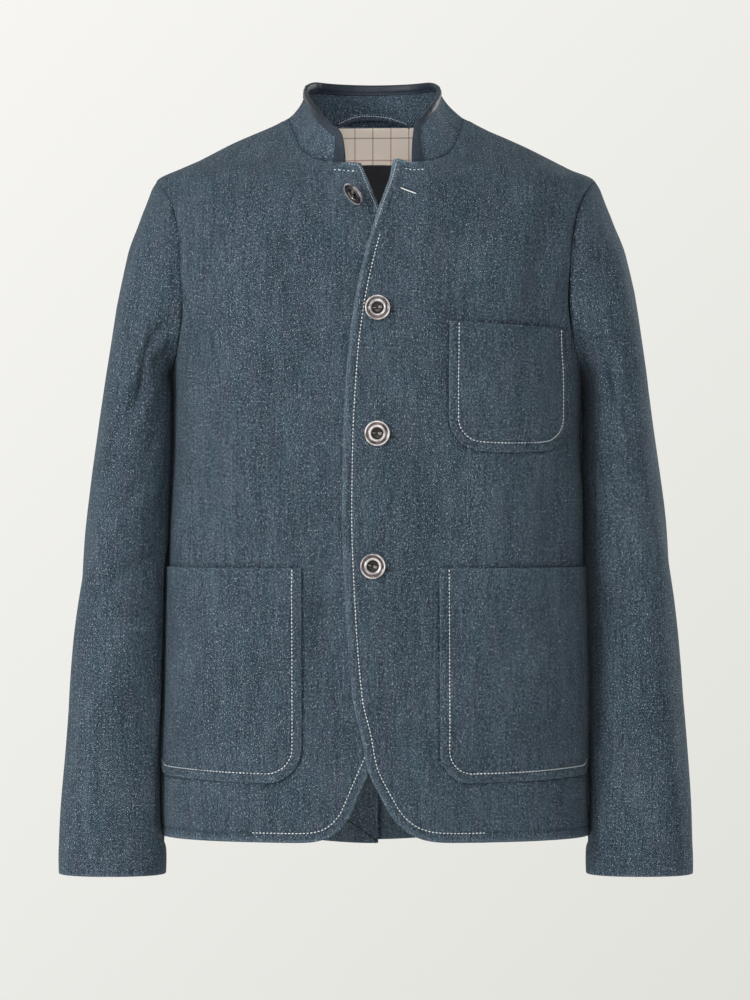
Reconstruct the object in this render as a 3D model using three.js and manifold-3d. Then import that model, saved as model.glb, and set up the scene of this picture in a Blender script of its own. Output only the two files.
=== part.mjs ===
// Denim work jacket, filled out as if worn, with nobody in it.
// Every piece of cloth is a closed wall whose middle surface lies on one body form or one sleeve form.
// Millimetres, +Z up. The jacket faces -Y, so the wearer's left side is +X.
// The origin is at the middle of the neck, level with the shoulder seams, where a wearer holds it up.
import * as THREE from "three";
import { mergeVertices } from "three/addons/utils/BufferGeometryUtils.js";
import Module from "manifold-3d";

const wasm = await Module();
wasm.setup();

// Cloth and trim
const DENIM = 1.6;
const LEATHER = 1.0;
const LINING = 0.8;
const LABEL = 0.6;
const POCKET_CLOTH = 1.2;
const SEAM_GAP = 0.3;
const FACET_ROOM = 0.6; // layers keep this much more, because flat facets cut their curves short
const LAP = 1.35; // how far each layer of a lap moves off the common form

// Heights of the main lines
const HEM = -685;
const BACK_HEM = -703;
const HEM_BLEND = -540; // above this height the rows of the fronts are level
const ARM_BOTTOM = -235;
const ARM_TOP = -54;
const NECK_SIDE = 6;
const NECK_BACK = 5;
const NECK_FRONT = -41;
const VENT_TOP = -495;
const VENT_FADE = -440; // the lap of the vent dies out up to here
// A lap's layers leave the common form between the far and the near distance from the middle
const FRONT_LAP = { overFar: 80, overNear: 30, underFar: -80, underNear: -40, top: -50, full: -95 };
const BACK_LAP = { overFar: 55, overNear: 15, underFar: -75, underNear: -45 };
const BACK_SEAM = 0.3; // each back's cut edge stands this far from the centre line

// Armhole: half its depth, to the front and to the back of the shoulder seam
const ARM = { front: 62, back: 66, roundness: 2.2 };

// Body form, level sections from hem to neck: half width, depth to the front and the back,
// and how square the front and the back of the section are (2 is an ellipse)
const BODY = [
  { z: -710, half: 206.5, front: 106, back: 114, squareFront: 2.8, squareBack: 2.6 },
  { z: -600, half: 205.5, front: 108, back: 108, squareFront: 2.8, squareBack: 2.6 },
  { z: -480, half: 201.5, front: 112, back: 98, squareFront: 2.9, squareBack: 2.6 },
  { z: -380, half: 199, front: 116, back: 95, squareFront: 2.9, squareBack: 2.7 },
  { z: -300, half: 197, front: 119, back: 99, squareFront: 2.9, squareBack: 2.8 },
  { z: -235, half: 197, front: 121, back: 105, squareFront: 2.8, squareBack: 2.8 },
  { z: -190, half: 204, front: 120, back: 108, squareFront: 2.6, squareBack: 2.7 },
  { z: -140, half: 212, front: 116, back: 107, squareFront: 2.5, squareBack: 2.6 },
  { z: -95, half: 215, front: 108, back: 101, squareFront: 2.4, squareBack: 2.4 },
  { z: -70, half: 214, front: 100, back: 94, squareFront: 2.2, squareBack: 2.2 },
  { z: -54, half: 211.5, front: 93, back: 88, squareFront: 2.0, squareBack: 2.1 },
  { z: -42, half: 188, front: 84, back: 82, squareFront: 1.8, squareBack: 2.0 },
  { z: -30, half: 163, front: 70, back: 76, squareFront: 1.6, squareBack: 1.9 },
  { z: -18, half: 138, front: 56, back: 70, squareFront: 1.5, squareBack: 1.9 },
  { z: -6, half: 111, front: 42, back: 64, squareFront: 1.5, squareBack: 1.9 },
  { z: 2, half: 94, front: 29, back: 60, squareFront: 1.5, squareBack: 2.0 },
  { z: 8, half: 84, front: 16, back: 57, squareFront: 1.5, squareBack: 2.0 },
];

// Free edge of each front, seen from the front, from the cutaway corner up to the top corner
const EDGE_LEFT = [
  { z: -658, x: 14 },
  { z: -636, x: 2 },
  { z: -616, x: -7 },
  { z: -585, x: -13 },
  { z: -550, x: -21 },
  { z: -460, x: -28 },
  { z: -375, x: -31 },
  { z: -304, x: -30 },
  { z: -225, x: -25.5 },
  { z: -180, x: -20 },
  { z: -135, x: -11 },
  { z: -90, x: 2 },
  { z: -42, x: 19 },
];
const EDGE_RIGHT = [
  { z: -661, x: -26 },
  { z: -640, x: -17 },
  { z: -618, x: -7.5 },
  { z: -590, x: 4 },
  { z: -540, x: 18 },
  { z: -480, x: 22 },
  { z: -160, x: 22 },
  { z: -120, x: 15 },
  { z: -85, x: 2 },
  { z: -43, x: -15 },
];
// Rounding of the cutaway corners into the hem: where the corner stands, its lift and its reach
const CORNER_LEFT = { x: 14, lift: 27, reach: 75 };
const CORNER_RIGHT = { x: 26, lift: 24, reach: 60 };
const CORNER_POWER = 4;
// The left front rises from the collar end to its top corner, above the low height
const TOP_CORNER = { peak: 4.5, x: 19, low: -60, full: -44 };
const LEFT_COLLAR_END = 41;
const RIGHT_COLLAR_END = -31;

// Front neckline, seen from the front: half width at each height
const NECKLINE = [
  { z: -41, x: 31 },
  { z: -40, x: 46 },
  { z: -35.5, x: 61 },
  { z: -27, x: 72 },
  { z: -10, x: 80 },
  { z: 6, x: 85.5 },
];

// Rows of the fronts above the hem blend, and of the backs
const BODY_ROWS = [-480, -400, -330, -270];
const ARM_ROWS = 9;
const SHOULDER_ROWS = [-47, -42.5, NECK_FRONT, -38, -34, -27, -18, -10, -2, NECK_SIDE];
const BACK_SHOULDER_ROWS = [-46, -38, -28, -18, -8, NECK_BACK];
const HEM_ROWS = [
  { z: HEM, share: 1 },
  { z: -662, share: 0.85 },
  { z: -635, share: 0.6 },
  { z: -605, share: 0.35 },
  { z: -575, share: 0.15 },
  { z: HEM_BLEND, share: 0 },
];
// How far across a front each column stands, closer together towards the rounded free edge
const FRONT_COLUMNS = [0, 0.12, 0.24, 0.37, 0.5, 0.63, 0.75, 0.85, 0.93, 1];
const BACK_COLUMNS = 9;

// Sleeve form, from the armhole to the cuff: outer and inner point of each ring seen from the front,
// half depth, how far it is carried back, and how much of the armhole's own curve it keeps
const SLEEVE_RINGS = [
  { outX: 211.5, outZ: -54, inX: 197, inZ: -232.4, deep: 62, back: 2, keep: 1 },
  { outX: 217.5, outZ: -59.5, inX: 201, inZ: -235.5, deep: 63.5, back: 3, keep: 0.75 },
  { outX: 223.5, outZ: -70, inX: 203, inZ: -239, deep: 65, back: 4, keep: 0.45 },
  { outX: 232.5, outZ: -94, inX: 204, inZ: -246, deep: 66, back: 6, keep: 0.2 },
  { outX: 241, outZ: -124, inX: 204.5, inZ: -256, deep: 66.5, back: 8, keep: 0 },
  { outX: 251, outZ: -168, inX: 205, inZ: -276, deep: 66.5, back: 10, keep: 0 },
  { outX: 259, outZ: -212, inX: 205, inZ: -302, deep: 66, back: 12, keep: 0 },
  { outX: 266.5, outZ: -260, inX: 205, inZ: -334, deep: 65, back: 14, keep: 0 },
  { outX: 274, outZ: -320, inX: 206, inZ: -374, deep: 63.5, back: 15, keep: 0 },
  { outX: 281.5, outZ: -385, inX: 206, inZ: -422, deep: 62, back: 15, keep: 0 },
  { outX: 289.5, outZ: -459, inX: 207, inZ: -480, deep: 60, back: 13, keep: 0 },
  { outX: 295.5, outZ: -530, inX: 207, inZ: -540, deep: 56, back: 9, keep: 0 },
  { outX: 300.5, outZ: -600, inX: 206, inZ: -604, deep: 51, back: 3, keep: 0 },
  { outX: 304.5, outZ: -665, inX: 204, inZ: -666, deep: 46, back: -2, keep: 0 },
  { outX: 306, outZ: -722, inX: 204, inZ: -722, deep: 42, back: -6, keep: 0 },
];
const SLEEVE_COLUMNS = 20;
const SLEEVE_SQUARE = 2.2;
const SLEEVE_START = 1.3; // the sleeve's first ring stands this far out from the armhole's edge
const SLEEVE_CLEAR = 0.5; // air between the sleeve and the body where they lie side by side
const POCKET_CLEAR = 3.4; // and beside the hip pockets, which stand out from the body
const POCKET_CLEAR_FROM = -400;

// Stand collar: plan of its top edge, and the height of that edge by the angle from the centre back
const COLLAR_TOP = { half: 70, back: 50, front: 74, shift: -2, endRight: 147, endLeft: 143 };
const COLLAR_RISE = [
  { angle: 0, z: 44.5 },
  { angle: 30, z: 45 },
  { angle: 56, z: 46 },
  { angle: 75, z: 42 },
  { angle: 90, z: 35 },
  { angle: 105, z: 26 },
  { angle: 120, z: 16 },
  { angle: 137, z: -1 },
  { angle: 150, z: -12 },
];
const COLLAR_COLUMNS = 36;
const COLLAR_ROWS = 3;
const COLLAR_CORNER = 9;
const COLLAR_SWELL = 2.5; // the collar curves in towards the neck by this much at half height
const BINDING_DEPTH = 8.5;

// Lining and label inside the upper back
const LINING_PIECE = { half: 0.62, bottom: -190, top: 2, columns: 14, rows: 7 };
const LABEL_PIECE = { half: 40, bottom: -82, top: -30, columns: 5, rows: 3 };
const LOOP = { half: 35, rise: 12, foot: 4, width: 5, thick: 1.2, columns: 12 };

// Patch pockets, seen from the front: edges, top, bottom and corner radius.
// A hip pocket runs round to the side seam, so its outer edge is a distance from that seam.
const CHEST_POCKET = { near: 69.5, far: 184.5, top: -194, bottom: -316, corner: 28 };
const HIP_LEFT = { near: 61, seam: 5, top: -427, bottom: -629, corner: 30 };
const HIP_RIGHT = { near: -71, seam: 5, top: -427, bottom: -629, corner: 33 };
const CORNER_CUT = 0.9; // keeps the lowest row of a pocket from starting on a vertical tangent
const POCKET_COLUMNS = 11;
const POCKET_ROWS = [0, 0.03, 0.09, 0.17, 0.4, 0.7, 1];

// Dished buttons and the slits that they pass through
const BUTTON = { radius: 12, thick: 3.6, bowl: 5.6, rim: 8.4, dish: 1.9, shank: 1.1 };
const BUTTON_ROWS = [
  { name: "button_2", x: 1, z: -179 },
  { name: "button_3", x: 1, z: -299 },
  { name: "button_4", x: -3, z: -424 },
];
const LOOSE_BUTTON = { name: "button_1", x: -19, z: -70.5, off: 11.5, tilt: 0.72, towards: 0.45 };
const BUTTONHOLE = { length: 26, height: 3, from: -4, cut: 12 };
const TOP_BUTTONHOLE = { x: 30, z: -69, length: 14 };

const COLOURS = {
  denim: { color: 0x44525e, roughness: 0.9 },
  pocket: { color: 0x4a5864, roughness: 0.9 },
  leather: { color: 0x262f3a, roughness: 0.45 },
  lining: { color: 0xc9b8a8, roughness: 0.7 },
  label: { color: 0x17171b, roughness: 0.6 },
  button: { color: 0x9a9093, roughness: 0.25 },
};

// Smooth value of one column of a table at a height, with no overshoot between rows
function readTable(table, key, column, at) {
  const last = table.length - 1;
  if (at <= table[0][key]) return table[0][column];
  if (at >= table[last][key]) return table[last][column];
  let i = 0;
  while (table[i + 1][key] < at) i += 1;
  const slope = (k) => (table[k + 1][column] - table[k][column]) / (table[k + 1][key] - table[k][key]);
  const tangent = (k) => {
    if (k === 0) return slope(0);
    if (k === last) return slope(last - 1);
    const before = slope(k - 1);
    const after = slope(k);
    return before * after <= 0 ? 0 : (2 * before * after) / (before + after);
  };
  const width = table[i + 1][key] - table[i][key];
  const t = (at - table[i][key]) / width;
  const a = table[i][column];
  const b = table[i + 1][column];
  return (
    a * (1 + 2 * t) * (1 - t) ** 2 +
    tangent(i) * width * t * (1 - t) ** 2 +
    b * t * t * (3 - 2 * t) +
    tangent(i + 1) * width * t * t * (t - 1)
  );
}

const clamp = (v, low = 0, high = 1) => Math.min(high, Math.max(low, v));
const mix = (a, b, t) => a + (b - a) * t;
const ease = (t) => clamp(t) ** 2 * (3 - 2 * clamp(t));
const rampTo = (at, none, full) => ease((at - none) / (full - none));
const signedPower = (v, power) => Math.sign(v) * Math.abs(v) ** power;
const TURN_STEP = 0.01; // half the span over which slopes along a section are taken

// A point of the body form. The turn is 0 at the right side seam, 1 at the centre front,
// 2 at the left side seam and 3 at the centre back.
function body(turn, z) {
  const angle = (turn * Math.PI) / 2;
  const front = Math.sin(angle) >= 0;
  const square = readTable(BODY, "z", front ? "squareFront" : "squareBack", z);
  const depth = readTable(BODY, "z", front ? "front" : "back", z);
  return new THREE.Vector3(
    -readTable(BODY, "z", "half", z) * signedPower(Math.cos(angle), 2 / square),
    -depth * Math.sin(angle),
    z,
  );
}

function bodyNormal(turn, z) {
  const across = body(turn + TURN_STEP, z).sub(body(turn - TURN_STEP, z));
  const up = body(turn, z + 1).sub(body(turn, z - 1));
  return across.cross(up).normalize();
}

// The turn at which the front (or the back) of the body form has a given x
function turnAt(x, z, face = "front") {
  const square = readTable(BODY, "z", face === "front" ? "squareFront" : "squareBack", z);
  const share = clamp(Math.abs(x) / readTable(BODY, "z", "half", z)) ** (square / 2);
  const quarter = (Math.acos(share) * 2) / Math.PI;
  if (face === "front") return x < 0 ? quarter : 2 - quarter;
  return x < 0 ? 4 - quarter : 2 + quarter;
}

// How far a turn moves for a distance along the section
const turnFor = (distance, turn, z) =>
  (2 * TURN_STEP * distance) / body(turn + TURN_STEP, z).distanceTo(body(turn - TURN_STEP, z));

// Turn from the side seam to the armhole's edge at a height
function armTurn(z, face) {
  const middle = (ARM_TOP + ARM_BOTTOM) / 2;
  const reach = Math.abs(z - middle) / (ARM_TOP - middle);
  if (reach >= 1) return 0;
  const deep = ARM[face] * (1 - reach ** ARM.roundness) ** (1 / ARM.roundness);
  return (Math.asin(clamp(deep / readTable(BODY, "z", face, z))) * 2) / Math.PI;
}

// How far the fronts and the backs leave the common form where they lap
function lapFront(x, z, layer) {
  const { overFar, overNear, underFar, underNear, top, full } = FRONT_LAP;
  const inLap = layer > 0 ? rampTo(x, overFar, overNear) : rampTo(x, underFar, underNear);
  return layer * LAP * inLap * rampTo(z, top, full);
}
function lapBack(x, z, layer) {
  const { overFar, overNear, underFar, underNear } = BACK_LAP;
  const inLap = layer > 0 ? rampTo(x, overFar, overNear) : rampTo(x, underFar, underNear);
  return layer * LAP * inLap * rampTo(z, VENT_FADE, VENT_TOP);
}

// A closed wall about a grid of middle points with their normals
function wall(rows, columns, at, thick, closed = false) {
  const positions = [];
  for (const side of [0.5, -0.5])
    for (let i = 0; i < rows; i += 1)
      for (let j = 0; j < columns; j += 1) {
        const { point, normal } = at(i, j);
        positions.push(...point.clone().addScaledVector(normal, side * thick));
      }
  const index = [];
  const layer = rows * columns;
  const quad = (a, b, c, d) => index.push(a, b, c, a, c, d);
  const spans = closed ? columns : columns - 1;
  for (let i = 0; i < rows - 1; i += 1)
    for (let j = 0; j < spans; j += 1) {
      const a = i * columns + j;
      const b = i * columns + ((j + 1) % columns);
      quad(a, b, b + columns, a + columns);
      quad(layer + a, layer + a + columns, layer + b + columns, layer + b);
    }
  for (let j = 0; j < spans; j += 1) {
    const b = (j + 1) % columns;
    const top = (rows - 1) * columns;
    quad(j, layer + j, layer + b, b);
    quad(top + j, top + b, layer + top + b, layer + top + j);
  }
  if (!closed)
    for (let i = 0; i < rows - 1; i += 1) {
      const a = i * columns;
      const b = a + columns - 1;
      quad(a, a + columns, layer + a + columns, layer + a);
      quad(b, layer + b, layer + b + columns, b + columns);
    }
  const geometry = new THREE.BufferGeometry();
  geometry.setAttribute("position", new THREE.Float32BufferAttribute(positions, 3));
  geometry.setIndex(index);
  if (signedVolume(geometry) < 0) flip(geometry);
  return geometry;
}

function signedVolume(geometry) {
  const p = geometry.getAttribute("position");
  const corners = [new THREE.Vector3(), new THREE.Vector3(), new THREE.Vector3()];
  let six = 0;
  for (let i = 0; i < geometry.index.count; i += 3) {
    corners.forEach((corner, k) => corner.fromBufferAttribute(p, geometry.index.getX(i + k)));
    six += corners[0].dot(corners[1].clone().cross(corners[2]));
  }
  return six / 6;
}

function flip(geometry) {
  const index = geometry.index.array;
  for (let i = 0; i < index.length; i += 3) [index[i + 1], index[i + 2]] = [index[i + 2], index[i + 1]];
}

// Rows of a front: level above the hem blend, and bent down to the hem's own line below it
function frontRows() {
  const rows = HEM_ROWS.map(({ z, share }) => ({ z, share }));
  BODY_ROWS.forEach((z) => rows.push({ z, share: 0 }));
  for (let k = 0; k <= ARM_ROWS; k += 1) {
    const z = mix(ARM_BOTTOM, ARM_TOP, (1 - Math.cos((Math.PI * k) / ARM_ROWS)) / 2);
    rows.push({ z, share: 0 });
  }
  SHOULDER_ROWS.forEach((z) => rows.push({ z, share: 0 }));
  return rows;
}

// A front panel's point: along runs from the side seam (0) to the free edge (1)
function frontPoint(row, along, panel) {
  const { side, edge, corner, layer, collarEnd } = panel;
  const seam = side < 0 ? 0 : 2;
  const away = side < 0 ? 1 : -1;
  const cornerZ = row.z + row.share * corner.lift;
  const inner = row.z >= NECK_FRONT
    ? side * Math.max(readTable(NECKLINE, "z", "x", row.z), Math.abs(collarEnd))
    : readTable(edge, "z", "x", cornerZ);
  const from = armTurn(row.z, "front") + turnFor(SEAM_GAP / 2, seam + away * 0.02, row.z);
  const turn = mix(seam + away * from, turnAt(inner, cornerZ), along);
  const x = body(turn, row.z).x;
  const nearCorner = clamp(1 - (side * x - corner.x) / corner.reach);
  let z = row.z + row.share * corner.lift * nearCorner ** CORNER_POWER;
  if (panel.peak && row.z > TOP_CORNER.low && row.z < NECK_FRONT)
    z += panel.peak * rampTo(x, collarEnd, TOP_CORNER.x) * rampTo(row.z, TOP_CORNER.low, TOP_CORNER.full);
  const normal = bodyNormal(turn, z);
  const point = body(turn, z).addScaledVector(normal, lapFront(x, z, layer));
  return { point, normal };
}

const FRONT_LEFT = {
  side: 1, edge: EDGE_LEFT, corner: CORNER_LEFT, layer: 1, collarEnd: LEFT_COLLAR_END, peak: TOP_CORNER.peak,
};
const FRONT_RIGHT = {
  side: -1, edge: EDGE_RIGHT, corner: CORNER_RIGHT, layer: -1, collarEnd: RIGHT_COLLAR_END, peak: 0,
};

function frontPanel(panel) {
  const rows = frontRows();
  const at = (i, j) => frontPoint(rows[i], FRONT_COLUMNS[j], panel);
  return wall(rows.length, FRONT_COLUMNS.length, at, DENIM);
}

const BACK_LEFT = { seam: 2, away: 1, centreX: BACK_SEAM, ventX: -33, layer: 1 };
const BACK_RIGHT = { seam: 4, away: -1, centreX: -BACK_SEAM, ventX: 1.4, layer: -1 };
const BACK_LOW_ROWS = [
  { z: HEM, share: 1 },
  { z: -650, share: 0.75 },
  { z: -600, share: 0.4 },
  { z: -550, share: 0.1 },
  { z: VENT_TOP - 2, share: 0 },
  { z: VENT_TOP, share: 0 },
];

// Rows of a back: bent down to the longer hem at the centre, level above the vent
function backRows() {
  const rows = [...BACK_LOW_ROWS];
  [VENT_FADE, ...BODY_ROWS.slice(1)].forEach((z) => rows.push({ z, share: 0 }));
  for (let k = 0; k <= ARM_ROWS; k += 1) {
    const z = mix(ARM_BOTTOM, ARM_TOP, (1 - Math.cos((Math.PI * k) / ARM_ROWS)) / 2);
    rows.push({ z, share: 0 });
  }
  BACK_SHOULDER_ROWS.forEach((z) => rows.push({ z, share: 0 }));
  return rows;
}

function backPoint(row, along, panel) {
  const { seam, away, centreX, ventX, layer } = panel;
  const inner = row.z < VENT_TOP ? ventX : centreX;
  const from = armTurn(row.z, "back") + turnFor(SEAM_GAP / 2, seam + away * 0.02, row.z);
  const turn = mix(seam + away * from, turnAt(inner, row.z, "back"), along);
  const x = body(turn, row.z).x;
  const half = readTable(BODY, "z", "half", row.z);
  const z = row.z + row.share * (BACK_HEM - HEM) * ease(1 - Math.abs(x) / half);
  const normal = bodyNormal(turn, z);
  const point = body(turn, z).addScaledVector(normal, lapBack(x, z, layer));
  return { point, normal };
}

function backPanel(panel) {
  const rows = backRows();
  const step = (j) => j / (BACK_COLUMNS - 1);
  return wall(rows.length, BACK_COLUMNS, (i, j) => backPoint(rows[i], step(j), panel), DENIM);
}

// Half width of the body form at a height and a depth, where a sleeve lies against it
function bodyX(y, z) {
  const face = y < 0 ? "front" : "back";
  const square = readTable(BODY, "z", y < 0 ? "squareFront" : "squareBack", z);
  const share = clamp(1 - (y / readTable(BODY, "z", face, z)) ** 2);
  return readTable(BODY, "z", "half", z) * share ** (1 / square);
}

const SLEEVE = SLEEVE_RINGS.map((row, ring) => ({ ...row, ring }));

// A point of the wearer's left sleeve form; angle 0 is the outside of the arm, a quarter turn the front
function sleevePoint(ring, angle) {
  const read = (column) => readTable(SLEEVE, "ring", column, ring);
  const out = signedPower(Math.cos(angle), 2 / SLEEVE_SQUARE);
  const ahead = signedPower(Math.sin(angle), 2 / SLEEVE_SQUARE);
  const z = (read("outZ") + read("inZ")) / 2 + (out * (read("outZ") - read("inZ"))) / 2;
  const y = read("back") - ahead * read("deep");
  const straight = (read("outX") + read("inX")) / 2 + (out * (read("outX") - read("inX"))) / 2;
  const armhole = bodyX(y, z) + SLEEVE_START;
  let x = mix(straight, armhole, read("keep"));
  const clear = mix(SLEEVE_CLEAR, POCKET_CLEAR, ease((POCKET_CLEAR_FROM - z) / 30));
  if (z < ARM_BOTTOM) x = Math.max(x, bodyX(y, z) + DENIM + clear);
  return new THREE.Vector3(x, y, z);
}

function sleeve(side) {
  const rings = SLEEVE.length;
  const grid = [];
  for (let i = 0; i < rings; i += 1) {
    grid.push([]);
    for (let j = 0; j < SLEEVE_COLUMNS; j += 1) {
      const point = sleevePoint(i, (2 * Math.PI * j) / SLEEVE_COLUMNS);
      grid[i].push(new THREE.Vector3(side * point.x, point.y, point.z));
    }
  }
  return gridWall(grid, DENIM, true);
}

// A wall about a grid of points, with normals from each point's neighbours
function gridWall(grid, thick, closed = false) {
  const rows = grid.length;
  const columns = grid[0].length;
  const around = (j) => (closed ? (j + columns) % columns : clamp(j, 0, columns - 1));
  const at = (i, j) => {
    const across = grid[i][around(j + 1)].clone().sub(grid[i][around(j - 1)]);
    const up = grid[clamp(i + 1, 0, rows - 1)][j].clone().sub(grid[clamp(i - 1, 0, rows - 1)][j]);
    return { point: grid[i][j], normal: across.cross(up).normalize() };
  };
  return wall(rows, columns, at, thick, closed);
}

// A path through points that is read by its share of the length, and runs straight on past its ends
function pathOf(points) {
  const lengths = [0];
  for (let i = 1; i < points.length; i += 1) {
    lengths.push(lengths[i - 1] + points[i].distanceTo(points[i - 1]));
  }
  const total = lengths[lengths.length - 1];
  const at = (share) => {
    const target = share * total;
    let i = 1;
    while (i < points.length - 1 && lengths[i] < target) i += 1;
    const t = (target - lengths[i - 1]) / (lengths[i] - lengths[i - 1]);
    return points[i - 1].clone().lerp(points[i], t);
  };
  return { at, total };
}

// The seam that the collar stands on, from its right end round the back to its left end
function neckSeam() {
  const points = [];
  const steps = 14;
  const sideX = NECKLINE[NECKLINE.length - 1].x;
  const frontAt = (x, side) => {
    const z = readTable(NECKLINE, "x", "z", x);
    return body(turnAt(side * x, z), z);
  };
  for (let k = 0; k <= steps; k += 1) points.push(frontAt(mix(-RIGHT_COLLAR_END, sideX, k / steps), -1));
  for (let k = 1; k < 2 * steps; k += 1) points.push(body(4 - k / steps, NECK_BACK));
  for (let k = steps; k >= 0; k -= 1) points.push(frontAt(mix(LEFT_COLLAR_END, sideX, k / steps), 1));
  return pathOf(points);
}

function collarEdge() {
  const points = [];
  const step = 5;
  const { half, back, front, shift, endRight, endLeft } = COLLAR_TOP;
  for (let angle = -endRight; angle <= endLeft; angle += step) {
    const radians = (angle * Math.PI) / 180;
    const deep = Math.cos(radians) > 0 ? back : front;
    points.push(new THREE.Vector3(
      shift + half * Math.sin(radians),
      deep * Math.cos(radians),
      readTable(COLLAR_RISE, "angle", "z", Math.abs(angle)),
    ));
  }
  return pathOf(points);
}

const SEAM = neckSeam();
const TOP = collarEdge();
const COLLAR_LENGTH = (SEAM.total + TOP.total) / 2;
const COLLAR_FOOT = 2.0; // the collar's cut edge stands this far above the seam line

const collarHeight = (along) => TOP.at(along / COLLAR_LENGTH).distanceTo(SEAM.at(along / COLLAR_LENGTH));

// A point of the collar form: along from the right end, up from the seam, in millimetres
function collarPoint(along, up) {
  const share = along / COLLAR_LENGTH;
  const rise = up / collarHeight(along);
  const point = SEAM.at(share).lerp(TOP.at(share), rise);
  const inward = new THREE.Vector3(-point.x, -point.y, 0).normalize();
  return point.addScaledVector(inward, COLLAR_SWELL * 4 * rise * (1 - rise));
}

function collarNormal(along, up) {
  const across = collarPoint(along + 1, up).sub(collarPoint(along - 1, up));
  return across.cross(collarPoint(along, up + 1).sub(collarPoint(along, up - 1))).normalize();
}

function collar() {
  const at = (i, j) => {
    const along = (COLLAR_LENGTH * j) / (COLLAR_COLUMNS - 1);
    const fromEnd = Math.min(along, COLLAR_LENGTH - along, COLLAR_CORNER);
    const drop = COLLAR_CORNER - Math.sqrt(COLLAR_CORNER ** 2 - (COLLAR_CORNER - fromEnd) ** 2);
    const up = mix(COLLAR_FOOT, collarHeight(along) - drop, i / COLLAR_ROWS);
    return { point: collarPoint(along, up), normal: collarNormal(along, up) };
  };
  return wall(COLLAR_ROWS + 1, COLLAR_COLUMNS, at, DENIM);
}

// Leather folded over the collar's edge: a channel swept up one end, along the top and down the other
function binding() {
  const stand = DENIM / 2 + SEAM_GAP + 1.4 * FACET_ROOM + LEATHER / 2;
  const section = [
    [BINDING_DEPTH, stand],
    [BINDING_DEPTH / 2, stand],
    [0, stand],
    [-0.75 * stand, 0.7 * stand],
    [-stand, 0],
    [-0.75 * stand, -0.7 * stand],
    [0, -stand],
    [BINDING_DEPTH / 2, -stand],
    [BINDING_DEPTH, -stand],
  ];
  const stops = [];
  const r = COLLAR_CORNER;
  const length = COLLAR_LENGTH;
  const high = collarHeight(r) - r;
  const foot = COLLAR_FOOT + 1;
  const arcSteps = 4;
  const topSteps = 30;
  stops.push([0, foot, 180], [0, mix(foot, high, 0.5), 180]);
  for (let k = 0; k <= arcSteps; k += 1) stops.push([r, 0, 180 - (90 * k) / arcSteps]);
  for (let k = 1; k < topSteps; k += 1) stops.push([mix(r, length - r, k / topSteps), 0, 90]);
  for (let k = 0; k <= arcSteps; k += 1) stops.push([length - r, 0, 90 - (90 * k) / arcSteps]);
  stops.push([length, mix(foot, high, 0.5), 0], [length, foot, 0]);
  const grid = stops.map(([along, up, degrees]) => {
    const out = new THREE.Vector2(Math.cos((degrees * Math.PI) / 180), Math.sin((degrees * Math.PI) / 180));
    const inArc = up === 0;
    const edgeAlong = inArc ? along + r * out.x : along;
    const edgeUp = inArc ? collarHeight(along) - r + r * out.y : up;
    return section.map(([depth, lift]) => {
      const u = edgeAlong - out.x * depth;
      const v = edgeUp - out.y * depth;
      return collarPoint(u, v).addScaledVector(collarNormal(u, v), lift);
    });
  });
  return gridWall(grid, LEATHER);
}

// Hanger loop: a flat strap that arches along the inside of the collar, its ends at the seam
function hangerLoop() {
  const away = -(DENIM / 2 + SEAM_GAP + FACET_ROOM / 2 + LOOP.thick / 2);
  const middle = COLLAR_LENGTH / 2;
  const grid = [];
  for (let i = 0; i <= LOOP.columns; i += 1) {
    const share = (2 * i) / LOOP.columns - 1;
    const along = middle + share * LOOP.half;
    const low = LOOP.foot + LOOP.rise * (1 - share ** 2);
    grid.push([0, 1].map((k) => {
      const up = low + k * LOOP.width;
      return collarPoint(along, up).addScaledVector(collarNormal(along, up), away);
    }));
  }
  return gridWall(grid, LOOP.thick);
}

// A sheet that lies inside the upper back, this far in from the body form
function insideBack(rows, columns, turnOf, zOf, inward, thick) {
  const at = (i, j) => {
    const z = zOf(i / rows);
    const turn = turnOf(j / columns, z);
    const normal = bodyNormal(turn, z);
    return { point: body(turn, z).addScaledVector(normal, -inward), normal };
  };
  return wall(rows + 1, columns + 1, at, thick);
}
const LINING_IN = DENIM / 2 + SEAM_GAP + 2 * FACET_ROOM + LINING / 2;
const LABEL_IN = LINING_IN + LINING / 2 + SEAM_GAP + 1.2 * FACET_ROOM + LABEL / 2;

function lining() {
  const { half, bottom, top, columns, rows } = LINING_PIECE;
  const turnOf = (share) => 3 + half * (2 * share - 1);
  return insideBack(rows, columns, turnOf, (share) => mix(bottom, top, share), LINING_IN, LINING);
}

function label() {
  const { half, bottom, top, columns, rows } = LABEL_PIECE;
  const turnOf = (share, z) => turnAt(mix(half, -half, share), z, "back");
  return insideBack(rows, columns, turnOf, (share) => mix(bottom, top, share), LABEL_IN, LABEL);
}

// Patch pocket: rows narrow towards the rounded bottom corners
function pocket(size, side, layer) {
  const { near, far, seam, top, bottom, corner } = size;
  const away = DENIM / 2 + SEAM_GAP + 1.2 * FACET_ROOM + POCKET_CLOTH / 2;
  const at = (i, j) => {
    const z = mix(bottom, top, POCKET_ROWS[i]);
    const intoCorner = Math.max(0, corner - (z - bottom));
    const inset = corner - Math.sqrt(corner ** 2 - intoCorner ** 2 * CORNER_CUT);
    const nearTurn = turnAt(near + side * inset, z);
    const seamTurn = side < 0 ? 0 : 2;
    const farTurn = far
      ? turnAt(far - side * inset, z)
      : seamTurn - side * turnFor(seam + inset, seamTurn - side * 0.1, z);
    const turn = mix(nearTurn, farTurn, j / (POCKET_COLUMNS - 1));
    const normal = bodyNormal(turn, z);
    const lap = lapFront(body(turn, z).x, z, layer);
    return { point: body(turn, z).addScaledVector(normal, lap + away), normal };
  };
  return wall(POCKET_ROWS.length, POCKET_COLUMNS, at, POCKET_CLOTH);
}
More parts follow.
